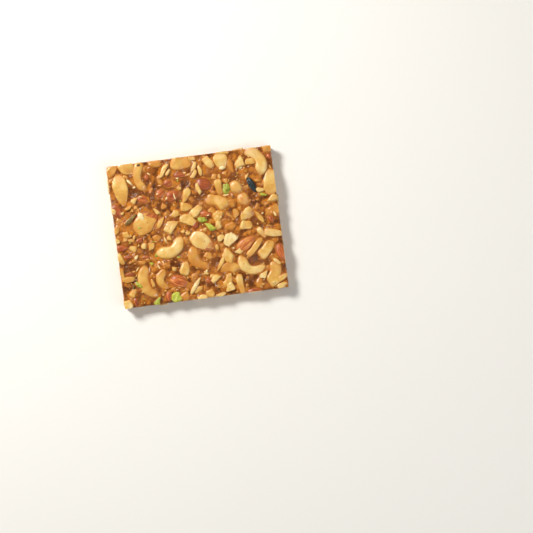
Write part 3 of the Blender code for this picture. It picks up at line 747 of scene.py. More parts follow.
def cut_by_knife(points, faces, grain, planes):
    """Cuts a piece by planes, each a point in mm and an outward normal, and closes each cut with a face."""
    planes = [(np.array(at), np.array(out)) for at, out in planes]
    if all(((points - at) @ out < 0).all() for at, out in planes):
        return points, faces, grain
    bm = bmesh.new()
    along, around = (bm.verts.layers.float.new(name) for name in ("along", "around"))
    for point, (u, v) in zip(points, grain):
        vert = bm.verts.new(point)
        vert[along], vert[around] = u, v
    bm.verts.ensure_lookup_table()
    for face in faces:
        bm.faces.new([bm.verts[i] for i in face])
    for at, out in planes:
        geometry = bm.verts[:] + bm.edges[:] + bm.faces[:]
        cut = bmesh.ops.bisect_plane(bm, geom=geometry, plane_co=at, plane_no=out, clear_outer=True)
        edges = [g for g in cut["geom_cut"] if isinstance(g, bmesh.types.BMEdge)]
        if edges:
            bmesh.ops.holes_fill(bm, edges=edges)
    bm.normal_update()
    bm.verts.index_update()
    new_points = np.array([v.co[:] for v in bm.verts]).reshape(-1, 3)
    new_grain = np.array([(v[along], v[around]) for v in bm.verts]).reshape(-1, 2)
    new_faces = [tuple(v.index for v in face.verts) for face in bm.faces]
    bm.free()
    return new_points, new_faces, new_grain


def knife_planes(half_length, half_width, underside=None):
    """The upright cuts of the slab, and the tray below it where a height is given."""
    planes = [((side * half_length, 0, 0), (side, 0, 0)) for side in (-1, 1)]
    planes += [((0, side * half_width, 0), (0, side, 0)) for side in (-1, 1)]
    if underside is not None:
        planes.append(((0, 0, underside), (0, 0, -1)))
    return planes


GRAIN_SHIFT = 40  # a nut's grain is moved by up to this many mm, so that no two look alike


def lay(heap, shape, nut, seed, most_tilt, planes=None):
    """Lays a shape where the nut's record says, tilted a little, and cuts it at the knife's planes."""
    points, faces, grain = shape
    rng = np.random.default_rng(seed)
    tilt = rng.uniform(-most_tilt, most_tilt)
    pitch = rng.uniform(-most_tilt, most_tilt) / 2
    points = turned(points, nut.turn, tilt, pitch)
    points = points + (nut.x, nut.y, THICKNESS + nut.rise - points[:, 2].max())
    grain = grain + rng.uniform(-GRAIN_SHIFT, GRAIN_SHIFT, 2)
    back = rng.uniform(0, UNEVEN_CUT)
    planes = planes or knife_planes(HALF_LENGTH - back, HALF_WIDTH - back)
    heap.add(*cut_by_knife(points, faces, grain, planes), nut.tone)


def add(tree, kind, inputs=None, **settings):
    """Adds a node with its settings, and sets its inputs to values or links them to other nodes' outputs."""
    made = tree.nodes.new(kind)
    for name, value in settings.items():
        setattr(made, name, value)
    for key, value in (inputs or {}).items():
        if isinstance(value, bpy.types.NodeSocket):
            tree.links.new(value, made.inputs[key])
        else:
            made.inputs[key].default_value = value
    return made


def start_material(name, **sockets):
    """A material whose shader has these even values; returns it, its tree and its shader."""
    material = bpy.data.materials.new(name)
    material.use_nodes = True
    tree = material.node_tree
    shader = tree.nodes["Principled BSDF"]
    for socket, value in sockets.items():
        shader.inputs[socket.replace("_", " ")].default_value = value
    return material, tree, shader


def per_metre(millimetres):
    """The scale of a noise whose swells are this far apart."""
    return 1 / (millimetres * MM)


def place_on_piece(tree):
    """Each point's own place on the slab, in metres."""
    return add(tree, "ShaderNodeTexCoord").outputs["Object"]


def value_on_points(tree, name):
    """A value that was written on the points of the mesh."""
    return add(tree, "ShaderNodeAttribute", attribute_name=name).outputs["Fac"]


def stretched_grain(tree, stretch):
    """Place along and around each nut, stretched along it so that noise there draws streaks."""
    grain = add(tree, "ShaderNodeUVMap", uv_map="grain").outputs[0]
    stretched = {0: grain, 1: (stretch, 1.0, 1.0)}
    return add(tree, "ShaderNodeVectorMath", stretched, operation="MULTIPLY").outputs[0]


def noise(tree, place, apart, detail):
    """Cloudy noise whose swells are that far apart in mm."""
    inputs = {"Vector": place, "Scale": per_metre(apart), "Detail": detail}
    return add(tree, "ShaderNodeTexNoise", inputs).outputs["Fac"]


def ramp(tree, value, start=0.0, end=1.0, low=0.0, high=1.0):
    """Goes from low to high while the value goes from start to end, and stays level on both sides."""
    return add(tree, "ShaderNodeMapRange", {0: value, 1: start, 2: end, 3: low, 4: high}).outputs[0]


def reckon(tree, operation, *values):
    """One value worked out from others."""
    return add(tree, "ShaderNodeMath", dict(enumerate(values)), operation=operation).outputs[0]


def mixed(tree, share, under, over):
    """One colour laid over another by a share."""
    return add(tree, "ShaderNodeMix", {0: share, 6: under, 7: over}, data_type="RGBA").outputs[2]


def set_surface(tree, shader, base, relief, strength, height):
    """Gives the shader its colour and its bump, of this strength and this height in mm; returns the bump."""
    tree.links.new(base, shader.inputs["Base Color"])
    bump = add(tree, "ShaderNodeBump", {"Height": relief, "Strength": strength, "Distance": height * MM})
    tree.links.new(bump.outputs[0], shader.inputs["Normal"])
    return bump.outputs[0]


def knife_mark(tree, place):
    """1 on the upright faces that the knife cut, and 0 elsewhere."""
    axes = add(tree, "ShaderNodeSeparateXYZ", {0: place})
    marks = []
    for axis, half in (("X", HALF_LENGTH), ("Y", HALF_WIDTH)):
        away = reckon(tree, "ABSOLUTE", axes.outputs[axis])
        marks.append(reckon(tree, "GREATER_THAN", away, (half - CUT_DEPTH) * MM))
    return reckon(tree, "MAXIMUM", *marks)


def toasted_nut():
    """Toasted cashew or almond flesh under a thin film of set caramel: waxy, golden, glossy, orange where it
    dips into the caramel, and dull cream where the knife went through it."""
    colours = bpy.context.scene.brittle_colours
    material, tree, shader = start_material(
        "toasted_nut_flesh", Roughness=0.45, Coat_Weight=0.4, Coat_Roughness=0.15, Subsurface_Weight=0.12
    )
    shader.inputs["Subsurface Radius"].default_value = (1.0, 0.55, 0.2)
    shader.inputs["Subsurface Scale"].default_value = 0.0012
    place = place_on_piece(tree)
    tone, dip = value_on_points(tree, "tone"), value_on_points(tree, "dip")
    patch = noise(tree, place, 7, 3.0)
    fleck = noise(tree, place, 1.3, 4.0)

    # Cream, golden or amber by the nut's tone, a little different from patch to patch.
    shade = reckon(tree, "ADD", tone, ramp(tree, patch, 0.3, 0.7, -0.3, 0.3))
    base = mixed(tree, ramp(tree, shade, 0.0, 0.5), colours.nut_pale, colours.nut_golden)
    base = mixed(tree, ramp(tree, shade, 0.45, 1.0), base, colours.nut_amber)

    # Amber streaks along the nut, and toasted flecks.
    streak = noise(tree, stretched_grain(tree, 0.2), 1.6, 3.0)
    base = mixed(tree, ramp(tree, streak, 0.5, 0.75, high=0.3), base, colours.nut_amber)
    base = mixed(tree, ramp(tree, fleck, 0.56, 0.74, high=0.35), base, colours.nut_amber)

    # Caramel creeps up the sides of the nut, and at its foot a painted contact shadow darkens it.
    base = mixed(tree, ramp(tree, dip, 0.15, 0.9, high=0.7), base, colours.caramel_thin)
    base = mixed(tree, ramp(tree, dip, 0.85, 1.0, high=0.6), base, colours.caramel_deep)

    # The knife leaves dull cream flesh with smears of caramel.
    flesh = mixed(tree, ramp(tree, tone, 0.1, 0.7), colours.nut_cut, colours.nut_golden)
    flesh = mixed(tree, ramp(tree, fleck, 0.45, 0.62, high=0.5), flesh, colours.nut_amber)
    base = mixed(tree, knife_mark(tree, place), base, flesh)

    # Underneath, a film of caramel was pressed between the nut and the tray.
    height = add(tree, "ShaderNodeSeparateXYZ", {0: place}).outputs["Z"]
    below = reckon(tree, "LESS_THAN", height, PRESSED * MM)
    film = reckon(tree, "MULTIPLY", ramp(tree, patch, 0.4, 0.65, 0.15, 0.7), below)
    base = mixed(tree, film, base, colours.nut_amber)

    relief = reckon(tree, "MULTIPLY_ADD", fleck, 2.0, noise(tree, place, 0.5, 2.0))
    set_surface(tree, shader, base, relief, 0.35, 0.12)
    return material


def almond_skin():
    """Almond skin, dried on and glazed with caramel: red-brown, with pale ridges along the nut."""
    colours = bpy.context.scene.brittle_colours
    material, tree, shader = start_material(
        "glazed_almond_skin", Roughness=0.5, Coat_Weight=0.4, Coat_Roughness=0.28
    )
    place = place_on_piece(tree)
    streak = noise(tree, stretched_grain(tree, 0.12), 0.9, 4.0)
    tone, dip = value_on_points(tree, "tone"), value_on_points(tree, "dip")

    # Dark furrows and light ridges: a pale almond is light all over, a deep one has few light ridges.
    pale = ramp(tree, tone, 0.35, 0.1, high=0.65)
    most = ramp(tree, tone, 0.6, 0.85, 1.0, 0.35)
    base = mixed(tree, ramp(tree, streak, 0.38, 0.64, pale, most), colours.skin_dark, colours.skin_light)

    # The skin is rubbed off the highest ridges of a pale almond.
    bare = ramp(tree, reckon(tree, "SUBTRACT", streak, tone), 0.26, 0.42, high=0.85)
    base = mixed(tree, bare, base, colours.nut_golden)

    base = mixed(tree, ramp(tree, dip, 0.3, 1.0, high=0.6), base, colours.caramel_mid)
    base = mixed(tree, knife_mark(tree, place), base, colours.nut_cut)
    set_surface(tree, shader, base, streak, 0.5, 0.15)
    return material


def set_caramel():
    """Boiled sugar set hard around the nuts: glassy, amber where thin over a nut, brown where deep, and
    clouded with small bubbles."""
    colours = bpy.context.scene.brittle_colours
    material, tree, shader = start_material(
        "set_caramel", Roughness=0.5, Coat_Weight=0.7, Coat_Roughness=0.05, Specular_IOR_Level=0.1
    )
    place = place_on_piece(tree)
    near = value_on_points(tree, "near")
    cloud = noise(tree, place, 4.5, 5.0)
    grit = noise(tree, place, 0.9, 4.0)
    shade = reckon(tree, "ADD", near, ramp(tree, cloud, 0.3, 0.7, -0.25, 0.25))
    shade = reckon(tree, "ADD", shade, ramp(tree, grit, 0.35, 0.65, -0.24, 0.24))

    # Sunk bits show through as patches of one shade each, with uneven outlines.
    bent = add(tree, "ShaderNodeTexNoise", {"Vector": place, "Scale": per_metre(2.0)}).outputs["Color"]
    bent = add(tree, "ShaderNodeVectorMath", {0: bent, 1: (1.6 * MM,) * 3}, operation="MULTIPLY").outputs[0]
    bent = add(tree, "ShaderNodeVectorMath", {0: place, 1: bent}, operation="ADD").outputs[0]
    for apart, strength in ((3.4, 0.24), (1.7, 0.18)):
        cells = {"Vector": bent, "Scale": per_metre(apart), "Smoothness": 0.35}
        bits = add(tree, "ShaderNodeTexVoronoi", cells, feature="SMOOTH_F1").outputs["Color"]
        level = add(tree, "ShaderNodeSeparateColor", {0: bits}).outputs[0]
        shade = reckon(tree, "ADD", shade, ramp(tree, level, low=-strength, high=strength))
    base = mixed(tree, ramp(tree, shade, 0.0, 0.45), colours.caramel_deep, colours.caramel_mid)
    base = mixed(tree, ramp(tree, shade, 0.42, 0.9), base, colours.caramel_thin)
    veil = ramp(tree, noise(tree, place, 11, 2.0), 0.42, 0.62, high=0.5)
    base = mixed(tree, veil, base, colours.caramel_haze)

    # Grit and small bubbles, rough in some patches and nearly smooth in others.
    cells = add(tree, "ShaderNodeTexVoronoi", {"Vector": place, "Scale": per_metre(1.1)}).outputs["Distance"]
    relief = reckon(tree, "MULTIPLY_ADD", grit, 1.6, ramp(tree, cells, 0.0, 0.35))
    relief = reckon(tree, "MULTIPLY", relief, ramp(tree, cloud, 0.42, 0.6, 0.3, 1.0))
    bump = set_surface(tree, shader, base, relief, 0.65, 0.22)
    tree.links.new(bump, shader.inputs["Coat Normal"])
    return material


class TwoTone(NamedTuple):
    """A finish of two colours in patches: the colours, how far apart the patches are and how high the bump is
    in mm, the roughness and the gloss of the glaze."""

    dark: str
    light: str
    apart: float
    relief: float
    roughness: float
    glaze: float


TWO_TONES = {
    # Waxy kernel flesh, split and ragged: two greens in small patches.
    "pistachio_kernel": TwoTone("pistachio_dark", "pistachio_light", 1.6, 0.25, 0.45, 0.0),
    # A shelled seed: smooth, flat and cream.
    "melon_seed": TwoTone("seed", "nut_golden", 2.5, 0.05, 0.4, 0.3),
    # A nut's white flesh where it broke, without caramel on it: waxy and almost plain.
    "bare_nut_flesh": TwoTone("seed", "nut_golden", 5.0, 0.1, 0.4, 0.4),
    # Dried fruit skin, nearly black, with a cold sheen on its wrinkles.
    "dried_dark_fruit": TwoTone("fruit", "fruit_ridge", 0.8, 0.3, 0.42, 0.3),
    # A dry papery husk.
    "dry_husk": TwoTone("husk", "husk_pale", 1.5, 0.2, 0.5, 0.3),
}


def two_tone(name):
    """One of the finishes of two colours."""
    kind = TWO_TONES[name]
    colours = bpy.context.scene.brittle_colours
    material, tree, shader = start_material(name, Roughness=kind.roughness, Coat_Weight=kind.glaze)
    patch = noise(tree, place_on_piece(tree), kind.apart, 4.0)
    shade = reckon(tree, "MULTIPLY_ADD", value_on_points(tree, "tone"), 0.5, patch)
    dark, light = getattr(colours, kind.dark), getattr(colours, kind.light)
    base = mixed(tree, ramp(tree, shade, 0.45, 0.95), dark, light)
    set_surface(tree, shader, base, patch, 0.6, kind.relief)
    return material


def finish_called(name):
    """A material of the slab, made when it is first asked for."""
    if name in bpy.data.materials:
        return bpy.data.materials[name]
    if name in TWO_TONES:
        return two_tone(name)
    makers = {"toasted_nut_flesh": toasted_nut, "glazed_almond_skin": almond_skin, "set_caramel": set_caramel}
    return makers[name]()


NUT_PIECES = []


def keep(heap, name, finish):
    """Builds the heap and notes it as one of the pieces that the caramel lies round."""
    NUT_PIECES.append(heap.build(name, finish_called(finish)).name)


def depth_of(width, share, least):
    """A nut's depth in mm: a share of its width, and at least enough to reach well into the caramel."""
    return max(width * share, least)


class BRITTLE_OT_cashews(bpy.types.Operator):
    """Makes the whole cashews, and the flat halves that they split into"""

    bl_idname = "brittle.cashews"
    bl_label = "Cashews"

    WHOLE_SEED, HALF_SEED = 100, 200
    WHOLE_DEPTH, HALF_DEPTH = (0.85, 5.6), (0.7, 5.0)
    HALF_POWER = 5.0  # a half has a flat face, which lies up

    def execute(self, context):
        whole, halves = Heap(), Heap()
        for number, nut in enumerate(CASHEWS):
            depth = depth_of(nut.width, *self.WHOLE_DEPTH)
            shape = cashew(nut.length, nut.width, depth, nut.bend, self.WHOLE_SEED + number)
            lay(whole, shape, nut, number, most_tilt=4)
        for number, nut in enumerate(HALVES):
            depth = depth_of(nut.width, *self.HALF_DEPTH)
            seed = self.HALF_SEED + number
            shape = cashew(nut.length, nut.width, depth, nut.bend, seed, self.HALF_POWER)
            lay(halves, shape, nut, number, most_tilt=3)
        keep(whole, "cashews", "toasted_nut_flesh")
        keep(halves, "cashew_halves", "toasted_nut_flesh")
        return {"FINISHED"}


class BRITTLE_OT_almonds(bpy.types.Operator):
    """Makes the almonds: flat halves showing their flesh, with skin round them, and pieces in their skin"""

    bl_idname = "brittle.almonds"
    bl_label = "Almonds"

    BLANCHED_SEED, PEELED_SEED, SKINNED_SEED = 300, 350, 400
    HALF_DEPTH, SKINNED_DEPTH = (0.46, 5.0), (0.7, 4.8)
    HALF_POWER = 7.0  # a half has a flat face, which lies up
    SKIN = 0.5  # how far the skin shows round a half's flesh
    SKIN_BACK = 0.05  # how far its cut lies behind the cut of the flesh
    SKIN_LOW = 0.3  # how far it stays below the flat face
    SKIN_POWER, SKIN_RIDGES = 5.0, 0.05
    SKIN_SHIFT = ((0.5, 1.1), (0.6, -0.6), (0.2, 0.3), (0.4, -0.2))

    def skin_round(self, nut, number):
        """The skin round an almond half, shifted so that more of it shows on one side."""
        shift_x, shift_y = self.SKIN_SHIFT[number]
        return nut._replace(
            x=nut.x + shift_x,
            y=nut.y + shift_y,
            length=nut.length + 2 * self.SKIN,
            width=nut.width + 2 * self.SKIN,
            rise=nut.rise - self.SKIN_LOW,
        )

    def execute(self, context):
        flesh, skins = Heap(), Heap()
        skin_planes = knife_planes(
            HALF_LENGTH - UNEVEN_CUT - self.SKIN_BACK, HALF_WIDTH - UNEVEN_CUT - self.SKIN_BACK
        )
        for number, nut in enumerate(BLANCHED):
            depth = depth_of(nut.width, *self.HALF_DEPTH)
            seed = self.BLANCHED_SEED + number
            shape = almond(nut.length, nut.width, depth, seed, self.HALF_POWER)
            lay(flesh, shape, nut, number, most_tilt=1)
            skin = self.skin_round(nut, number)
            shape = almond(skin.length, skin.width, depth, seed, self.SKIN_POWER, self.SKIN_RIDGES)
            lay(skins, shape, skin, number, most_tilt=1, planes=skin_planes)
        for number, nut in enumerate(PEELED):
            depth = depth_of(nut.width, *self.HALF_DEPTH)
            shape = almond(nut.length, nut.width, depth, self.PEELED_SEED + number, self.HALF_POWER)
            lay(flesh, shape, nut, number, most_tilt=2)
        for number, nut in enumerate(SKINNED):
            depth = depth_of(nut.width, *self.SKINNED_DEPTH)
            seed = self.SKINNED_SEED + number
            shape = almond(nut.length, nut.width, depth, seed, power_up=2.8, ridges=0.09)
            lay(skins, shape, nut, number, most_tilt=5)
        keep(flesh, "almond_halves", "toasted_nut_flesh")
        keep(skins, "almonds_in_skin", "glazed_almond_skin")
        return {"FINISHED"}


class BRITTLE_OT_broken_nuts(bpy.types.Operator):
    """Makes the broken bits of nut that show on top, and the few that the knife pushed out at the sides"""

    bl_idname = "brittle.broken_nuts"
    bl_label = "Broken nuts"

    BROKEN_SEED, PUSHED_OUT_SEED, PALE_SEED = 500, 600, 650
    BROKEN_DEPTH = (0.8, 4.8)
    DEPTH = 5.0  # of the bits pushed out and of the pale blocks
    LONGER, WIDER = 1.07, 1.1  # a broken bit's rounded corners make up for this
    LARGE = 11  # a bit longer than this has a finer mesh

    def execute(self, context):
        heap = Heap()
        for number, nut in enumerate(BROKEN):
            rng = np.random.default_rng(self.BROKEN_SEED + number)
            depth = depth_of(nut.width, *self.BROKEN_DEPTH)
            level = 4 if nut.length > self.LARGE else 3
            shape = broken(self.LONGER * nut.length, self.WIDER * nut.width, depth, rng, level)
            lay(heap, shape, nut, number, most_tilt=5)
        for number, nut in enumerate(PUSHED_OUT):
            rng = np.random.default_rng(self.PUSHED_OUT_SEED + number)
            along_y = nut.turn == 90
            planes = knife_planes(HALF_LENGTH + STICK_OUT * along_y, HALF_WIDTH + STICK_OUT * (not along_y))
            shape = broken(nut.length, nut.width, self.DEPTH, rng)
            lay(heap, shape, nut, number, most_tilt=2, planes=planes)
        keep(heap, "broken_nuts", "toasted_nut_flesh")
        pale = Heap()
        for number, nut in enumerate(PALE_BLOCKS):
            rng = np.random.default_rng(self.PALE_SEED + number)
            shape = broken(nut.length, nut.width, self.DEPTH, rng, level=4, planes=7, steepness=0.3)
            lay(pale, shape, nut, number, most_tilt=3)
        keep(pale, "pale_blocks", "bare_nut_flesh")
        return {"FINISHED"}


class SmallThings(NamedTuple):
    """Small things of one kind that lie on the nuts and the caramel: where they gather, their records, their
    depth in mm and how finely their mesh is divided."""

    heap: Heap
    nuts: tuple
    depth: float
    level: int


class BRITTLE_OT_toppings(bpy.types.Operator):
    """Makes the pistachio bits, melon seeds, dark fruit and husks on top"""

    bl_idname = "brittle.toppings"
    bl_label = "Pistachios, seeds and fruit"

    PISTACHIO_SEED, MELON_SEED, SMALL_SEED, FRUIT_SEED, HUSK_SEED = 700, 800, 850, 900, 950
    PISTACHIO_DEPTH, FRUIT_DEPTH, HUSK_DEPTH = 4.8, 4.8, 4.0
    MELON_DEPTH = (0.6, 4.6)

    def execute(self, context):
        sizes = context.scene.brittle_sizes
        tree = nut_tree()
        green, seeds, fruit, husks, specks, bits, skins = (Heap() for _ in range(7))
        for number, nut in enumerate(PISTACHIOS):
            rng = np.random.default_rng(self.PISTACHIO_SEED + number)
            points, faces, grain = broken(
                nut.length, nut.width, self.PISTACHIO_DEPTH, rng, level=4, planes=16
            )
            points = swollen(points, np.zeros(3), 3.0, 0.5, number)
            lay(green, (points, faces, grain), nut, number, most_tilt=5)
        for number, nut in enumerate(MELON_SEEDS):
            depth = depth_of(nut.width, *self.MELON_DEPTH)
            shape = almond(nut.length, nut.width, depth, self.MELON_SEED + number, power_up=3.0)
            lay(seeds, shape, nut, number, most_tilt=4)
        small_things = (
            SmallThings(seeds, SLIVERS, 1.2, 2),
            SmallThings(green, GREEN_BITS, 1.8, 2),
            SmallThings(specks, SKIN_SPECKS, 0.5, 2),
            SmallThings(bits, NUT_BITS, 2.6, 3),
            SmallThings(skins, SKIN_BITS, 2.0, 3),
        )
        lowest = THICKNESS - sizes.dip / MM
        for things in small_things:
            for number, nut in enumerate(things.nuts):
                rng = np.random.default_rng(self.SMALL_SEED + number)
                ground = max(height_from_above(tree, nut.x, nut.y), lowest)
                placed = nut._replace(rise=ground + nut.rise - THICKNESS)
                shape = broken(nut.length, nut.width, things.depth, rng, things.level)
                lay(things.heap, shape, placed, number, most_tilt=3)
        for number, nut in enumerate(DARK_FRUIT):
            points, faces, grain = almond(
                nut.length, nut.width, self.FRUIT_DEPTH, self.FRUIT_SEED, power_up=2.4, ridges=0.35
            )
            points = swollen(points, points * (1, 0, 0), 2.0, 0.35, self.FRUIT_SEED + 1)
            lay(fruit, (points, faces, grain), nut, number, most_tilt=3)
        for number, nut in enumerate(HUSKS):
            shape = almond(nut.length, nut.width, self.HUSK_DEPTH, self.HUSK_SEED + number, power_up=4.0)
            lay(husks, shape, nut, number, most_tilt=3)
        keep(green, "pistachios", "pistachio_kernel")
        keep(seeds, "melon_seeds", "melon_seed")
        keep(fruit, "dark_fruit", "dried_dark_fruit")
        keep(husks, "husks", "dry_husk")
        keep(specks, "skin_specks", "glazed_almond_skin")
        keep(bits, "nut_bits", "toasted_nut_flesh")
        keep(skins, "skin_bits", "glazed_almond_skin")
        return {"FINISHED"}


class BRITTLE_OT_cut_nuts(bpy.types.Operator):
    """Makes the nuts that the knife cut through on the four sides, and those pressed flat underneath"""

    bl_idname = "brittle.cut_nuts"
    bl_label = "Cut nuts"

    SEED = 11
    SIDE_SEED, UNDER_SEED = 1000, 2000
    KINDS = (0.4, 0.15, 0.45)  # shares of cashews, almonds and broken bits
    SIDE_STEP = 9.6  # from one nut to the next along a side
    SIDE_LEVELS = (2.6, 5.6, 7.9)  # heights of the rows of nuts at a side
    SIDE_SIZES = (3.8, 7.0)
    SIDE_END = 4  # a row stops this far from the corner
    SIDE_STRAY, SIDE_LIFT = 2.5, 0.8  # a nut strays this far along its row, and up or down from it
    SIDE_INWARD = (-1.0, 2.5)  # and its middle lies this far in from the cut
    SIDE_TILT, SIDE_PITCH = 35, 15  # degrees
    SIDE_FILM = (0.02, 0.1)  # the caramel left between a nut and the tray
    SIDE_TONES = (0.1, 0.8)
    BELOW_TOP = 2.2  # a nut at a side stays this far below the rolled surface
    UNDER_STEP = 11.5  # from one nut to the next underneath
    UNDER_SIZES = (6.0, 10.5)
    UNDER_END = 5  # the rows underneath stop this far from the sides
    UNDER_BACK = 0.2  # the nuts underneath are cut this far back from the knife's plane
    UNDER_STRAY = 3
    UNDER_TILT, UNDER_PITCH = 12, 8  # degrees
    UNDER_RISE = 0.35  # this share of a nut's lower half is above the tray, and the rest was pressed away
    UNDER_FILM = (0.0, 0.08)
    UNDER_TONES = (0.2, 0.9)

    def shape(self, rng, size, number):
        """A cashew, an almond or a broken bit, at random."""
        kind = rng.choice(3, p=self.KINDS)
        if kind == 0:
            return cashew(size * 2.0, size * 0.85, size * 0.7, rng.uniform(20, 120), number), False
        if kind == 1:
            return almond(size * 1.8, size * 0.9, size * 0.62, number, ridges=0.08), True
        return broken(size * 1.25, size, size * 0.75, rng), False

    def side_places(self, rng):
        """Where the nuts cut at the sides lie: x, y and height."""
        sides = ((HALF_LENGTH, HALF_WIDTH, False), (HALF_WIDTH, HALF_LENGTH, True))
        for along, across, upright in sides:
            count = round(2 * along / self.SIDE_STEP)
            for side in (-1, 1):
                for level, height in enumerate(self.SIDE_LEVELS):
                    for i in range(count):
                        share = 2 * (i + 0.5 * (level % 2)) / count - 1
                        place = share * (along - self.SIDE_END)
                        place += rng.uniform(-self.SIDE_STRAY, self.SIDE_STRAY)
                        edge = side * (across - rng.uniform(*self.SIDE_INWARD))
                        x, y = (edge, place) if upright else (place, edge)
                        yield x, y, height + rng.uniform(-self.SIDE_LIFT, self.SIDE_LIFT)

    def add_at_sides(self, heaps, rng):
        """Nuts cut through at the sides, each a slightly different amount back from the knife's plane."""
        for number, (x, y, height) in enumerate(self.side_places(rng)):
            size = rng.uniform(*self.SIDE_SIZES)
            (points, faces, grain), skinned = self.shape(rng, size, self.SIDE_SEED + number)
            turn = rng.uniform(0, 360)
            tilt = rng.uniform(-self.SIDE_TILT, self.SIDE_TILT)
            pitch = rng.uniform(-self.SIDE_PITCH, self.SIDE_PITCH)
            points = turned(points, turn, tilt, pitch) + (x, y, height)
            back = rng.uniform(0.0, CUT_DEPTH - 0.05)
            too_high = points[:, 2].max() - (THICKNESS - self.BELOW_TOP)
            if too_high > 0:
                points[:, 2] -= too_high
            planes = knife_planes(HALF_LENGTH - back, HALF_WIDTH - back, rng.uniform(*self.SIDE_FILM))
            tone = rng.uniform(*self.SIDE_TONES)
            heaps[skinned].add(*cut_by_knife(points, faces, grain, planes), tone)

    def add_underneath(self, heaps, rng):
        """Nuts pressed flat against the tray."""
        columns = round(2 * HALF_LENGTH / self.UNDER_STEP)
        rows = round(2 * HALF_WIDTH / self.UNDER_STEP)
        for i in range(columns):
            for j in range(rows):
                size = rng.uniform(*self.UNDER_SIZES)
                (points, faces, grain), skinned = self.shape(rng, size, self.UNDER_SEED + i * rows + j)
                turn = rng.uniform(0, 360)
                tilt = rng.uniform(-self.UNDER_TILT, self.UNDER_TILT)
                pitch = rng.uniform(-self.UNDER_PITCH, self.UNDER_PITCH)
                points = turned(points, turn, tilt, pitch)
                x = (2 * (i + 0.5) / columns - 1) * (HALF_LENGTH - self.UNDER_END)
                x += rng.uniform(-self.UNDER_STRAY, self.UNDER_STRAY)
                y = (2 * (j + 0.5) / rows - 1) * (HALF_WIDTH - self.UNDER_END)
                y += rng.uniform(-self.UNDER_STRAY, self.UNDER_STRAY)
                points = points + (x, y, -self.UNDER_RISE * points[:, 2].min())
                half_length, half_width = HALF_LENGTH - self.UNDER_BACK, HALF_WIDTH - self.UNDER_BACK
                planes = knife_planes(half_length, half_width, rng.uniform(*self.UNDER_FILM))
                tone = rng.uniform(*self.UNDER_TONES)
                heaps[skinned].add(*cut_by_knife(points, faces, grain, planes), tone)

    def execute(self, context):
        flesh, skins = Heap(), Heap()
        heaps = {False: flesh, True: skins}
        rng = np.random.default_rng(self.SEED)
        self.add_at_sides(heaps, rng)
        self.add_underneath(heaps, rng)
        keep(flesh, "cut_nuts", "toasted_nut_flesh")
        keep(skins, "cut_almonds", "glazed_almond_skin")
        return {"FINISHED"}


def nut_tree():
    """All the nuts' surfaces in mm, for rays and distances."""
    points, faces = [], []
    for name in NUT_PIECES:
        mesh = bpy.data.objects[name].data
        start = len(points)
        points += [v.co / MM for v in mesh.vertices]
        faces += [tuple(i + start for i in face.vertices) for face in mesh.polygons]
    return BVHTree.FromPolygons(points, faces)


OVERHEAD = 5  # the rays start this far above the rolled surface, over the tallest nut


def height_from_above(tree, x, y):
    """Height of the highest nut over a point, or 0 where there is none."""
    above = Vector((x, y, THICKNESS + OVERHEAD))
    hit = tree.ray_cast(above, Vector((0, 0, -1)))[0]
    return 0.0 if hit is None else hit.z


POCKET_DROP = 0.35  # how far the caramel sinks in the middle of a dark pocket
WAVE_SEED = 3
RIPPLES = (Unevenness(0.2, 4.5, 5), Unevenness(0.08, 1.7, 6))


def plain_level(plan, sizes):
    """The caramel's level at plan points in mm, away from any nut: long waves with ripples on them."""
    flat = on_floor(plan)
    waves = Unevenness(sizes.swell / MM, sizes.wave / MM, WAVE_SEED)
    level = THICKNESS - sizes.dip / MM + waves.at(flat)
    for ripples in RIPPLES:
        level = level + ripples.at(flat)
    return level - POCKET_DROP * pocket_depth(plan)


def plain_level_at(x, y, sizes):
    """The same at one point."""
    return float(plain_level(np.array([[x, y]]), sizes)[0])


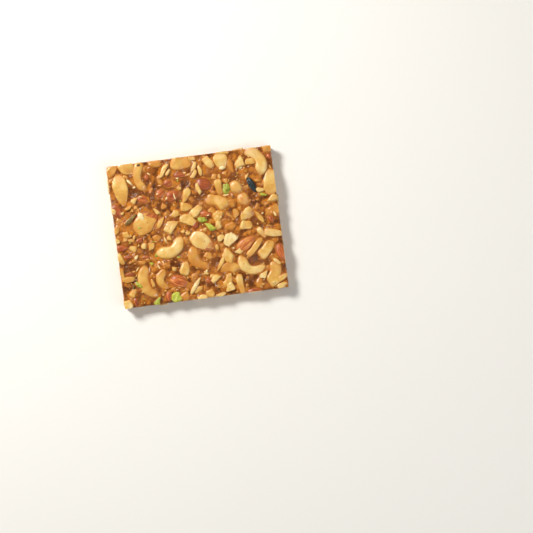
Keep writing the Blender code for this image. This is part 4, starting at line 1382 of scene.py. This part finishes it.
class BRITTLE_OT_coated_bits(bpy.types.Operator):
    """Makes the small nut bits that lie sunk in the caramel between the nuts"""

    bl_idname = "brittle.coated_bits"
    bl_label = "Coated bits"

    SEED = 21
    SUNK_SIZES = (6.0, 11.0)
    SUNK_BELOW = (-0.2, 0.9)  # the top of a sunk bit lies this far below the caramel's level
    SUNK_WIDTHS, SUNK_FLATNESS = (0.6, 0.9), 0.6  # shares of a bit's length, and of its width
    SUNK_TONES = (0.7, 1.0)
    SUNK_END, COATED_END = 4, 2.5  # they stay this far from the sides
    ATTEMPTS = 25  # for each coated bit
    LARGEST, SMALLEST = 10.0, 3.5  # the coated bits get smaller as the room runs out
    COATED_ABOVE = (-0.15, 0.5)  # the top of a coated bit lies this far above the caramel's level
    COATED_WIDTHS, COATED_FLATNESS = (0.55, 0.9), 0.8
    COATED_TONES = (0.4, 1.0)
    FINE = 4.5  # a coated bit larger than this has a finer mesh
    ROOM = 0.5  # a nut that comes this near to the caramel's surface is in the way
    ROOM_REACH = 0.3  # room is looked for round a bit at this share of its size
    OVERLAP = 0.4  # two bits keep this share of their sizes apart

    def add_sunk(self, heap, rng, sizes):
        """Larger bits that only just show through the caramel."""
        for number in range(sizes.sunk_bits):
            x, y = rng.uniform(-1, 1, 2) * (HALF_LENGTH - self.SUNK_END, HALF_WIDTH - self.SUNK_END)
            size = rng.uniform(*self.SUNK_SIZES)
            if in_pocket(x, y, size / 3):
                continue
            rise = plain_level_at(x, y, sizes) - THICKNESS - rng.uniform(*self.SUNK_BELOW)
            width = size * rng.uniform(*self.SUNK_WIDTHS)
            nut = Nut(x, y, size, width, rng.uniform(0, 180), rise, rng.uniform(*self.SUNK_TONES))
            shape = broken(size, width, width * self.SUNK_FLATNESS, rng, level=2)
            lay(heap, shape, nut, number, most_tilt=8)

    def has_room(self, tree, x, y, size, level):
        """Whether at most one of a few places round here has a nut near the caramel's surface."""
        reach = self.ROOM_REACH * size
        around = [(x, y)] + [(x + reach * math.cos(a), y + reach * math.sin(a)) for a in range(6)]
        return sum(height_from_above(tree, *spot) > level - self.ROOM for spot in around) <= 1

    def add_coated(self, heap, rng, sizes, tree):
        """Bits that stand half out of the caramel wherever the nuts leave room, the large ones first."""
        taken = []
        attempts = self.ATTEMPTS * sizes.coated_bits
        for attempt in range(attempts):
            if len(taken) == sizes.coated_bits:
                break
            x, y = rng.uniform(-1, 1, 2) * (HALF_LENGTH - self.COATED_END, HALF_WIDTH - self.COATED_END)
            size = self.LARGEST - (self.LARGEST - self.SMALLEST) * attempt / attempts
            if in_pocket(x, y, size / 3):
                continue
            level = plain_level_at(x, y, sizes)
            if not self.has_room(tree, x, y, size, level):
                continue
            if any(math.hypot(x - a, y - b) < self.OVERLAP * (size + other) for a, b, other in taken):
                continue
            taken.append((x, y, size))
            rise = level - THICKNESS + rng.uniform(*self.COATED_ABOVE)
            tone = rng.uniform(*self.COATED_TONES)
            width = size * rng.uniform(*self.COATED_WIDTHS)
            nut = Nut(x, y, size, width, rng.uniform(0, 180), rise, tone)
            depth = width * self.COATED_FLATNESS
            shape = broken(size, width, depth, rng, level=3 if size > self.FINE else 2)
            lay(heap, shape, nut, attempt, most_tilt=15)

    def execute(self, context):
        sizes = context.scene.brittle_sizes
        heap, rng = Heap(), np.random.default_rng(self.SEED)
        self.add_sunk(heap, rng, sizes)
        self.add_coated(heap, rng, sizes, nut_tree())
        keep(heap, "coated_bits", "toasted_nut_flesh")
        return {"FINISHED"}


def blurred(field, radius):
    """The field smoothed over a radius counted in its own steps."""
    reach = max(1, round(3 * radius))
    steps = np.arange(-reach, reach + 1)
    weights = np.exp(-0.5 * (steps / radius) ** 2)
    weights /= weights.sum()
    padded = np.pad(field, reach, mode="edge")
    for axis in (0, 1):
        padded = np.apply_along_axis(lambda line: np.convolve(line, weights, mode="same"), axis, padded)
    return padded[reach:-reach, reach:-reach]


def with_round_corners(plan, half_length, half_width, radius):
    """Plan points with those near the slab's corners drawn in to a radius."""
    past = np.abs(plan) - (half_length - radius, half_width - radius)
    both = (past > 0).all(axis=1)
    reach = past[both].max(axis=1, keepdims=True)
    drawn = past[both] / np.linalg.norm(past[both], axis=1, keepdims=True) * reach
    rounded = plan.copy()
    rounded[both] = np.sign(plan[both]) * (drawn + (half_length - radius, half_width - radius))
    return rounded


class Caramel:
    """The caramel's shape: a grid over the slab, its level on top, and its sides."""

    CORNER = 1.5  # radius of its upright corners
    MIDDLE = 5.0  # the height where the upper and the lower body of caramel meet
    ROW = 0.6  # spacing of the rows of points down the sides
    SIDE_SWELLS = (Unevenness(0.16, 7.0, 8), Unevenness(0.1, 2.5, 9))
    EVEN_EDGE = 0.8  # the sides grow uneven over this distance from their edge
    OVERRUN = 0.3  # in places the caramel climbs this much nearer to a nut's top
    OVERRUN_SWELLS = Unevenness(1.0, 8.0, 17)  # those places are where these swells are high
    OVERRUN_FROM = 0.15  # and higher than this
    FAR = 5.0  # a nut further off than this isn't looked for
    NEARNESS = 1.3  # a nut makes the caramel beside it lighter over about this distance
    COVER = 1.2  # a nut shows from above through about this depth of caramel
    SOFTNESS = 0.5  # its outline is soft over about this distance
    GLOW_SWELLS = Unevenness(0.6, 7.0, 19)  # where the light from a nut beside it spreads further
    GLOW_MEAN = 0.5
    POCKET_SHADE = 0.8  # how much of that light a dark pocket takes away
    CLEAR = 0.05  # crumbs lie where no nut comes nearer than this to the surface

    def __init__(self, sizes, tree):
        self.sizes = sizes
        self.half_length = HALF_LENGTH - sizes.setback / MM
        self.half_width = HALF_WIDTH - sizes.setback / MM
        self.columns = round(2 * self.half_length * MM / sizes.grid)
        self.rows = round(2 * self.half_width * MM / sizes.grid)
        self.xs = np.linspace(-self.half_length, self.half_length, self.columns + 1)
        self.ys = np.linspace(-self.half_width, self.half_width, self.rows + 1)
        self.plan = np.stack(np.meshgrid(self.xs, self.ys, indexing="ij"), axis=-1).reshape(-1, 2)
        self.nuts = np.array([height_from_above(tree, x, y) for x, y in self.plan]).reshape(self.shape)
        self.top = self.level_on_top()

    @property
    def shape(self):
        return self.columns + 1, self.rows + 1

    def edge_drop(self):
        """How far the surface rolls down towards its edge."""
        edge = self.sizes.edge / MM
        inside = ((self.half_length, self.half_width) - np.abs(self.plan)).min(axis=1)
        short = np.clip(edge - inside, 0, edge)
        return (edge - np.sqrt(edge**2 - short**2)).reshape(self.shape)

    def level_on_top(self):
        """The caramel lies level between the nuts and climbs up them to a film below their tops."""
        plain = plain_level(self.plan, self.sizes).reshape(self.shape)
        draped = blurred(np.maximum(self.nuts, plain), self.sizes.climb / self.sizes.grid)
        swells = self.OVERRUN_SWELLS.at(on_floor(self.plan))
        overrun = np.clip(swells - self.OVERRUN_FROM, 0, 1).reshape(self.shape)
        film = self.sizes.film / MM - self.OVERRUN * overrun
        level = np.maximum(plain, draped - film)
        for strand in STRANDS:
            level += strand.height * np.exp(-((self.distance_from(strand) / strand.width) ** 2))
        return level - self.edge_drop()

    def distance_from(self, strand):
        """Distance of each grid point from a strand of caramel."""
        start, end = np.array(strand.start), np.array(strand.end)
        along = np.clip((self.plan - start) @ (end - start) / ((end - start) @ (end - start)), 0, 1)
        nearest = start + along[:, None] * (end - start)
        return np.linalg.norm(self.plan - nearest, axis=1).reshape(self.shape)

    def ring(self):
        """Grid numbers of the points round the edge, counter-clockwise."""
        number = np.arange((self.columns + 1) * (self.rows + 1)).reshape(self.shape)
        return np.concatenate([number[:-1, 0], number[-1, :-1], number[:0:-1, -1], number[0, :0:-1]])

    def body(self, heights, facing):
        """A closed body from the middle of the slab to these heights, facing up (1) or down (-1)."""
        grid = np.column_stack([self.plan, heights.ravel()])
        ring = self.ring()
        edge = grid[ring]
        count = len(ring)
        rows = max(2, round(abs(edge[:, 2].mean() - self.MIDDLE) / self.ROW))
        sides = []
        for row in range(1, rows + 1):
            level = edge.copy()
            level[:, 2] += (self.MIDDLE - edge[:, 2]) * row / rows
            relief = sum(swells.at(level) for swells in self.SIDE_SWELLS)
            relief *= np.clip(np.abs(level[:, 2] - edge[:, 2]) / self.EVEN_EDGE, 0, 1)
            level[:, :2] *= 1 + relief[:, None] / (self.half_length, self.half_width)
            sides.append(level)
        points = np.vstack([grid] + sides)
        points[:, :2] = with_round_corners(points[:, :2], self.half_length, self.half_width, self.CORNER)
        faces = []
        wide = self.rows + 1
        for i in range(self.columns):
            for j in range(self.rows):
                a = i * wide + j
                faces.append((a, a + wide, a + wide + 1, a + 1))
        above = ring
        for row in range(rows):
            below = len(grid) + row * count + np.arange(count)
            for k in range(count):
                n = (k + 1) % count
                faces.append((int(above[n]), int(above[k]), int(below[k]), int(below[n])))
            above = below
        faces.append(tuple(int(i) for i in above[::-1]))
        if facing < 0:
            faces = [face[::-1] for face in faces]
        return points, faces

    def build(self, name, heights, facing, tree):
        """One body of caramel, with how near a nut lies under each point and where crumbs may lie."""
        points, faces = self.body(heights, facing)
        mesh = bpy.data.meshes.new(name)
        mesh.from_pydata((points * MM).tolist(), [], faces)
        gaps = [tree.find_nearest(Vector(point), self.FAR)[3] for point in points]
        near = np.exp(-np.array([self.FAR if gap is None else gap for gap in gaps]) / self.NEARNESS)
        bare = np.zeros(len(points))
        if facing > 0:
            on_top = slice(0, self.nuts.size)
            below = np.exp(-np.maximum(self.top - self.nuts, 0) / self.COVER)
            glow = np.clip(self.GLOW_MEAN + self.GLOW_SWELLS.at(on_floor(self.plan)), 0, 1) * near[on_top]
            seen = np.maximum(blurred(below, self.SOFTNESS * MM / self.sizes.grid).ravel(), glow)
            near[on_top] = seen * (1 - self.POCKET_SHADE * pocket_depth(self.plan))
            shown = (self.nuts < self.top - self.CLEAR) & (self.edge_drop() < self.CLEAR)
            bare[on_top] = shown.ravel()
        write_on_points(mesh, "near", near)
        write_on_points(mesh, "open", bare)
        mesh.shade_smooth()
        mesh.materials.append(finish_called("set_caramel"))
        return dress(new_object(name, mesh))


def sink_nuts(sizes):
    """Writes on each nut how far its points dip towards the caramel, from 0 well above it to 1 in it."""
    soak = sizes.soak / MM
    for name in NUT_PIECES:
        mesh = bpy.data.objects[name].data
        points = np.empty(len(mesh.vertices) * 3)
        mesh.vertices.foreach_get("co", points)
        points = points.reshape(-1, 3) / MM
        above = points[:, 2] - plain_level(points[:, :2], sizes)
        dip = np.clip(1 - above / soak, 0, 1) * (points[:, 2] > Caramel.MIDDLE)
        mesh.attributes["dip"].data.foreach_set("value", dip.astype(np.float32))


class BRITTLE_OT_caramel(bpy.types.Operator):
    """Makes the caramel round the nuts: its uneven top, its sides and its flat underside"""

    bl_idname = "brittle.caramel"
    bl_label = "Caramel"

    UNDERSIDE = 0.12  # the caramel's underside lies about this far above the tray
    UNDERSIDE_SWELLS = (Unevenness(0.04, 6.0, 14), Unevenness(0.03, 1.6, 15))

    def execute(self, context):
        tree = nut_tree()
        caramel = Caramel(context.scene.brittle_sizes, tree)
        caramel.build("caramel", caramel.top, 1, tree)
        flat = on_floor(caramel.plan)
        underside = sum((swells.at(flat) for swells in self.UNDERSIDE_SWELLS), start=self.UNDERSIDE)
        underside = underside.reshape(caramel.shape) + caramel.edge_drop()
        caramel.build("caramel_underside", underside, -1, tree)
        sink_nuts(context.scene.brittle_sizes)
        return {"FINISHED"}


class CrumbKind(NamedTuple):
    """Crumbs of one kind: their material, how many, their smallest and largest length as shares of a crumb,
    their flatness, and their palest and deepest tone."""

    name: str
    finish: str
    count: int
    smallest: float
    largest: float
    flatness: float
    palest: float
    deepest: float


CRUMB_KINDS = (
    CrumbKind("nut_crumbs", "toasted_nut_flesh", 70, 0.4, 1.6, 0.8, 0.2, 0.7),
    CrumbKind("amber_crumbs", "toasted_nut_flesh", 50, 0.6, 2.2, 0.7, 0.75, 1.1),
    CrumbKind("skin_flakes", "glazed_almond_skin", 45, 0.5, 1.6, 0.35, 0.1, 0.5),
    CrumbKind("pistachio_crumbs", "pistachio_kernel", 10, 0.5, 1.3, 0.6, 0.2, 0.8),
)
CRUMB_SHAPES = 6
CRUMB_SEED = 3000
LEAN = 0.5  # a crumb leans by up to this many radians
FULL_TURN = 6.283


def crumb_nodes():
    """The node group that scatters crumbs where the surface is open, and turns and scales them at random."""
    tree = bpy.data.node_groups.new("scatter crumbs", "GeometryNodeTree")
    tree.is_modifier = True
    sockets = (
        ("Surface", "NodeSocketGeometry"),
        ("Crumbs", "NodeSocketCollection"),
        ("Density", "NodeSocketFloat"),
        ("Smallest", "NodeSocketFloat"),
        ("Largest", "NodeSocketFloat"),
        ("Palest", "NodeSocketFloat"),
        ("Deepest", "NodeSocketFloat"),
        ("Seed", "NodeSocketInt"),
        ("Material", "NodeSocketMaterial"),
    )
    for name, kind in sockets:
        tree.interface.new_socket(name, in_out="INPUT", socket_type=kind)
    tree.interface.new_socket("Crumbs", in_out="OUTPUT", socket_type="NodeSocketGeometry")
    given = add(tree, "NodeGroupInput").outputs
    shown = add(tree, "GeometryNodeInputNamedAttribute", {"Name": "open"}, data_type="FLOAT")
    density = reckon(tree, "MULTIPLY", given["Density"], shown.outputs["Attribute"])
    scattered = add(
        tree,
        "GeometryNodeDistributePointsOnFaces",
        {"Mesh": given["Surface"], "Density": density, "Seed": given["Seed"]},
    ).outputs["Points"]
    shapes = add(
        tree, "GeometryNodeCollectionInfo", {"Collection": given["Crumbs"], "Separate Children": True}
    ).outputs["Instances"]
    turn = add(
        tree,
        "FunctionNodeRandomValue",
        {0: (-LEAN, -LEAN, 0.0), 1: (LEAN, LEAN, FULL_TURN), "Seed": given["Seed"]},
        data_type="FLOAT_VECTOR",
    ).outputs[0]
    scale = add(
        tree,
        "FunctionNodeRandomValue",
        {2: given["Smallest"], 3: given["Largest"], "Seed": given["Seed"]},
        data_type="FLOAT",
    ).outputs[1]
    placed = add(
        tree,
        "GeometryNodeInstanceOnPoints",
        {"Points": scattered, "Instance": shapes, "Pick Instance": True, "Rotation": turn, "Scale": scale},
    ).outputs[0]
    tone = add(
        tree,
        "FunctionNodeRandomValue",
        {2: given["Palest"], 3: given["Deepest"], "Seed": given["Seed"]},
        data_type="FLOAT",
    ).outputs[1]
    toned = add(
        tree,
        "GeometryNodeStoreNamedAttribute",
        {"Geometry": placed, "Name": "tone", "Value": tone},
        data_type="FLOAT",
        domain="INSTANCE",
    ).outputs[0]
    real = add(tree, "GeometryNodeRealizeInstances", {"Geometry": toned}).outputs[0]
    finished = add(tree, "GeometryNodeSetMaterial", {"Geometry": real, "Material": given["Material"]})
    add(tree, "NodeGroupOutput", {0: finished.outputs[0]})
    return tree


class BRITTLE_OT_crumbs(bpy.types.Operator):
    """Scatters nut crumbs, flakes of skin and bits of pistachio over the caramel between the nuts"""

    bl_idname = "brittle.crumbs"
    bl_label = "Crumbs"

    def shapes(self, context, kind, rng):
        """A collection of a few crumb shapes, flattened as this kind is."""
        collection = bpy.data.collections.new(kind.name)
        context.scene.collection.children.link(collection)
        length = context.scene.brittle_sizes.crumb / MM
        for number in range(CRUMB_SHAPES):
            width = length * rng.uniform(0.5, 0.85)
            points, faces, _ = broken(length, width, width * kind.flatness, rng, level=2, planes=8)
            mesh = bpy.data.meshes.new(f"{kind.name}_{number}")
            mesh.from_pydata((points * MM).tolist(), [], faces)
            mesh.shade_smooth()
            collection.objects.link(bpy.data.objects.new(mesh.name, mesh))
        return collection

    def execute(self, context):
        surface = bpy.data.objects["caramel"].data
        shown = np.empty(len(surface.vertices))
        surface.attributes["open"].data.foreach_get("value", shown)
        area = shown.sum() * context.scene.brittle_sizes.grid**2
        tree = crumb_nodes()
        inputs = [item for item in tree.interface.items_tree if item.in_out == "INPUT"]
        sockets = {item.name: item.identifier for item in inputs}
        for number, kind in enumerate(CRUMB_KINDS):
            collection = self.shapes(context, kind, np.random.default_rng(CRUMB_SEED + number))
            host = new_object("crumb host", surface)
            modifier = host.modifiers.new("scatter crumbs", "NODES")
            modifier.node_group = tree
            values = {
                "Crumbs": collection,
                "Density": kind.count / area,
                "Smallest": kind.smallest,
                "Largest": kind.largest,
                "Palest": kind.palest,
                "Deepest": kind.deepest,
                "Seed": 7 + number,
                "Material": finish_called(kind.finish),
            }
            for name, value in values.items():
                modifier[sockets[name]] = value
            graph = context.evaluated_depsgraph_get()
            mesh = bpy.data.meshes.new_from_object(host.evaluated_get(graph))
            bpy.data.objects.remove(host)
            for shape in list(collection.objects):
                bpy.data.objects.remove(shape)
            bpy.data.collections.remove(collection)
            mesh.name = kind.name
            mesh.shade_smooth()
            dress(new_object(kind.name, mesh))
        return {"FINISHED"}


class BRITTLE_OT_stage(bpy.types.Operator):
    """Sets the floor, the soft lights and the camera straight above"""

    bl_idname = "brittle.stage"
    bl_label = "Stage"

    VIEW_WIDTH = 426.4  # what the picture's 533 pixels span on the floor
    VIEW_MIDDLE = (50.6, -38.6)  # the picture's middle, measured from the slab's own middle
    TURN = -7.6  # the slab lies this many degrees counter-clockwise in the picture
    LENS = 100.0
    SENSOR = 36.0
    FLOOR_REACH = 3.0
    # Name, place, size and watts of each light, and its colour.
    LIGHTS = (
        ("window light", (-0.6, 0.65, 0.85), 0.32, 16.4, (1.0, 0.975, 0.92)),
        ("fill light", (0.8, -0.5, 0.8), 0.8, 3.2, (1.0, 0.975, 0.93)),
        ("glint light", (0.25, -0.45, 1.1), 0.06, 1.2, (0.94, 0.97, 1.0)),
    )
    ROOM_COLOUR = (1.0, 0.96, 0.87, 1)
    ROOM_SPAN = (0.2, 0.95)  # the room is bright up to the first of these heights and dark from the second on
    ROOM_LIGHT = (0.55, 0.02)

    def floor(self):
        """A wide floor in matt paint: pale, with the faintest unevenness."""
        mesh = bpy.data.meshes.new("floor")
        far = self.FLOOR_REACH
        mesh.from_pydata([(-far, -far, 0), (far, -far, 0), (far, far, 0), (-far, far, 0)], [], [(0, 1, 2, 3)])
        finish, tree, shader = start_material("matt_floor_paint", Roughness=0.8)
        swells = {"Vector": place_on_piece(tree), "Scale": 9.0, "Detail": 2.0}
        uneven = add(tree, "ShaderNodeTexNoise", swells).outputs["Fac"]
        colours = bpy.context.scene.brittle_colours
        base = mixed(tree, ramp(tree, uneven, 0.3, 0.7, high=0.04), colours.stage, colours.stage_shade)
        tree.links.new(base, shader.inputs["Base Color"])
        mesh.materials.append(finish)
        new_object("floor", mesh)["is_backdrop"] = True

    def lights(self):
        """Three lights that look at the slab."""
        for name, place, size, watts, colour in self.LIGHTS:
            light = bpy.data.lights.new(name, "AREA")
            light.size = size
            light.energy = watts
            light.color = colour
            lamp = new_object(name, light)
            lamp.location = place
            lamp.rotation_euler = Vector(place).to_track_quat("Z", "Y").to_euler()

    def room(self, context):
        """The light of the room: bright round the slab, and dark above so as not to veil its top."""
        world = bpy.data.worlds.new("studio")
        world.use_nodes = True
        tree = world.node_tree
        background = tree.nodes["Background"]
        background.inputs["Color"].default_value = self.ROOM_COLOUR
        way = add(tree, "ShaderNodeTexCoord").outputs["Generated"]
        upward = add(tree, "ShaderNodeSeparateXYZ", {0: way}).outputs["Z"]
        strength = ramp(tree, upward, *self.ROOM_SPAN, *self.ROOM_LIGHT)
        tree.links.new(strength, background.inputs["Strength"])
        context.scene.world = world

    def camera(self, context):
        """A long lens straight above, so that the slab's sides hardly show."""
        camera = bpy.data.cameras.new("camera")
        camera.lens = self.LENS
        camera.sensor_width = self.SENSOR
        high = self.VIEW_WIDTH * MM * self.LENS / self.SENSOR
        holder = new_object("camera", camera)
        holder.location = (self.VIEW_MIDDLE[0] * MM, self.VIEW_MIDDLE[1] * MM, high + THICKNESS * MM)
        holder.rotation_euler = (0, 0, math.radians(self.TURN))
        context.scene.camera = holder

    def execute(self, context):
        self.floor()
        self.lights()
        self.room(context)
        self.camera(context)
        context.scene.view_settings.view_transform = "Standard"
        return {"FINISHED"}


class BRITTLE_PT_panel(bpy.types.Panel):
    """Lists the pieces of the slab, in the order in which they are made"""

    bl_idname = "BRITTLE_PT_panel"
    bl_label = "Nut Brittle"
    bl_space_type = "VIEW_3D"
    bl_region_type = "UI"
    bl_category = "Brittle"

    def draw(self, context):
        for operator in OPERATORS:
            self.layout.operator(operator.bl_idname)
        for group in (context.scene.brittle_sizes, context.scene.brittle_colours):
            box = self.layout.box()
            for name in group.__annotations__:
                box.prop(group, name)


OPERATORS = (
    BRITTLE_OT_cashews,
    BRITTLE_OT_almonds,
    BRITTLE_OT_broken_nuts,
    BRITTLE_OT_toppings,
    BRITTLE_OT_cut_nuts,
    BRITTLE_OT_coated_bits,
    BRITTLE_OT_caramel,
    BRITTLE_OT_crumbs,
    BRITTLE_OT_stage,
)
CLASSES = (BrittleSizes, BrittleColours, *OPERATORS, BRITTLE_PT_panel)


def register():
    """Registers the classes, and puts the sizes and colours on the scene."""
    for cls in CLASSES:
        bpy.utils.register_class(cls)
    bpy.types.Scene.brittle_sizes = PointerProperty(type=BrittleSizes)
    bpy.types.Scene.brittle_colours = PointerProperty(type=BrittleColours)


def unregister():
    """Takes back what register did."""
    del bpy.types.Scene.brittle_colours
    del bpy.types.Scene.brittle_sizes
    for cls in reversed(CLASSES):
        bpy.utils.unregister_class(cls)


def write_size():
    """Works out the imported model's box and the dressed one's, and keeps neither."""
    boxes = {"cad": CAD_BOUNDS, "visual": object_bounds()}
    {name: [list(corner) for corner in box] for name, box in boxes.items()}


def main():
    """Makes every piece in order."""
    register()
    for operator in OPERATORS:
        group, name = operator.bl_idname.split(".")
        getattr(getattr(bpy.ops, group), name)()
    write_size()


if __name__ == "__main__":
    main()
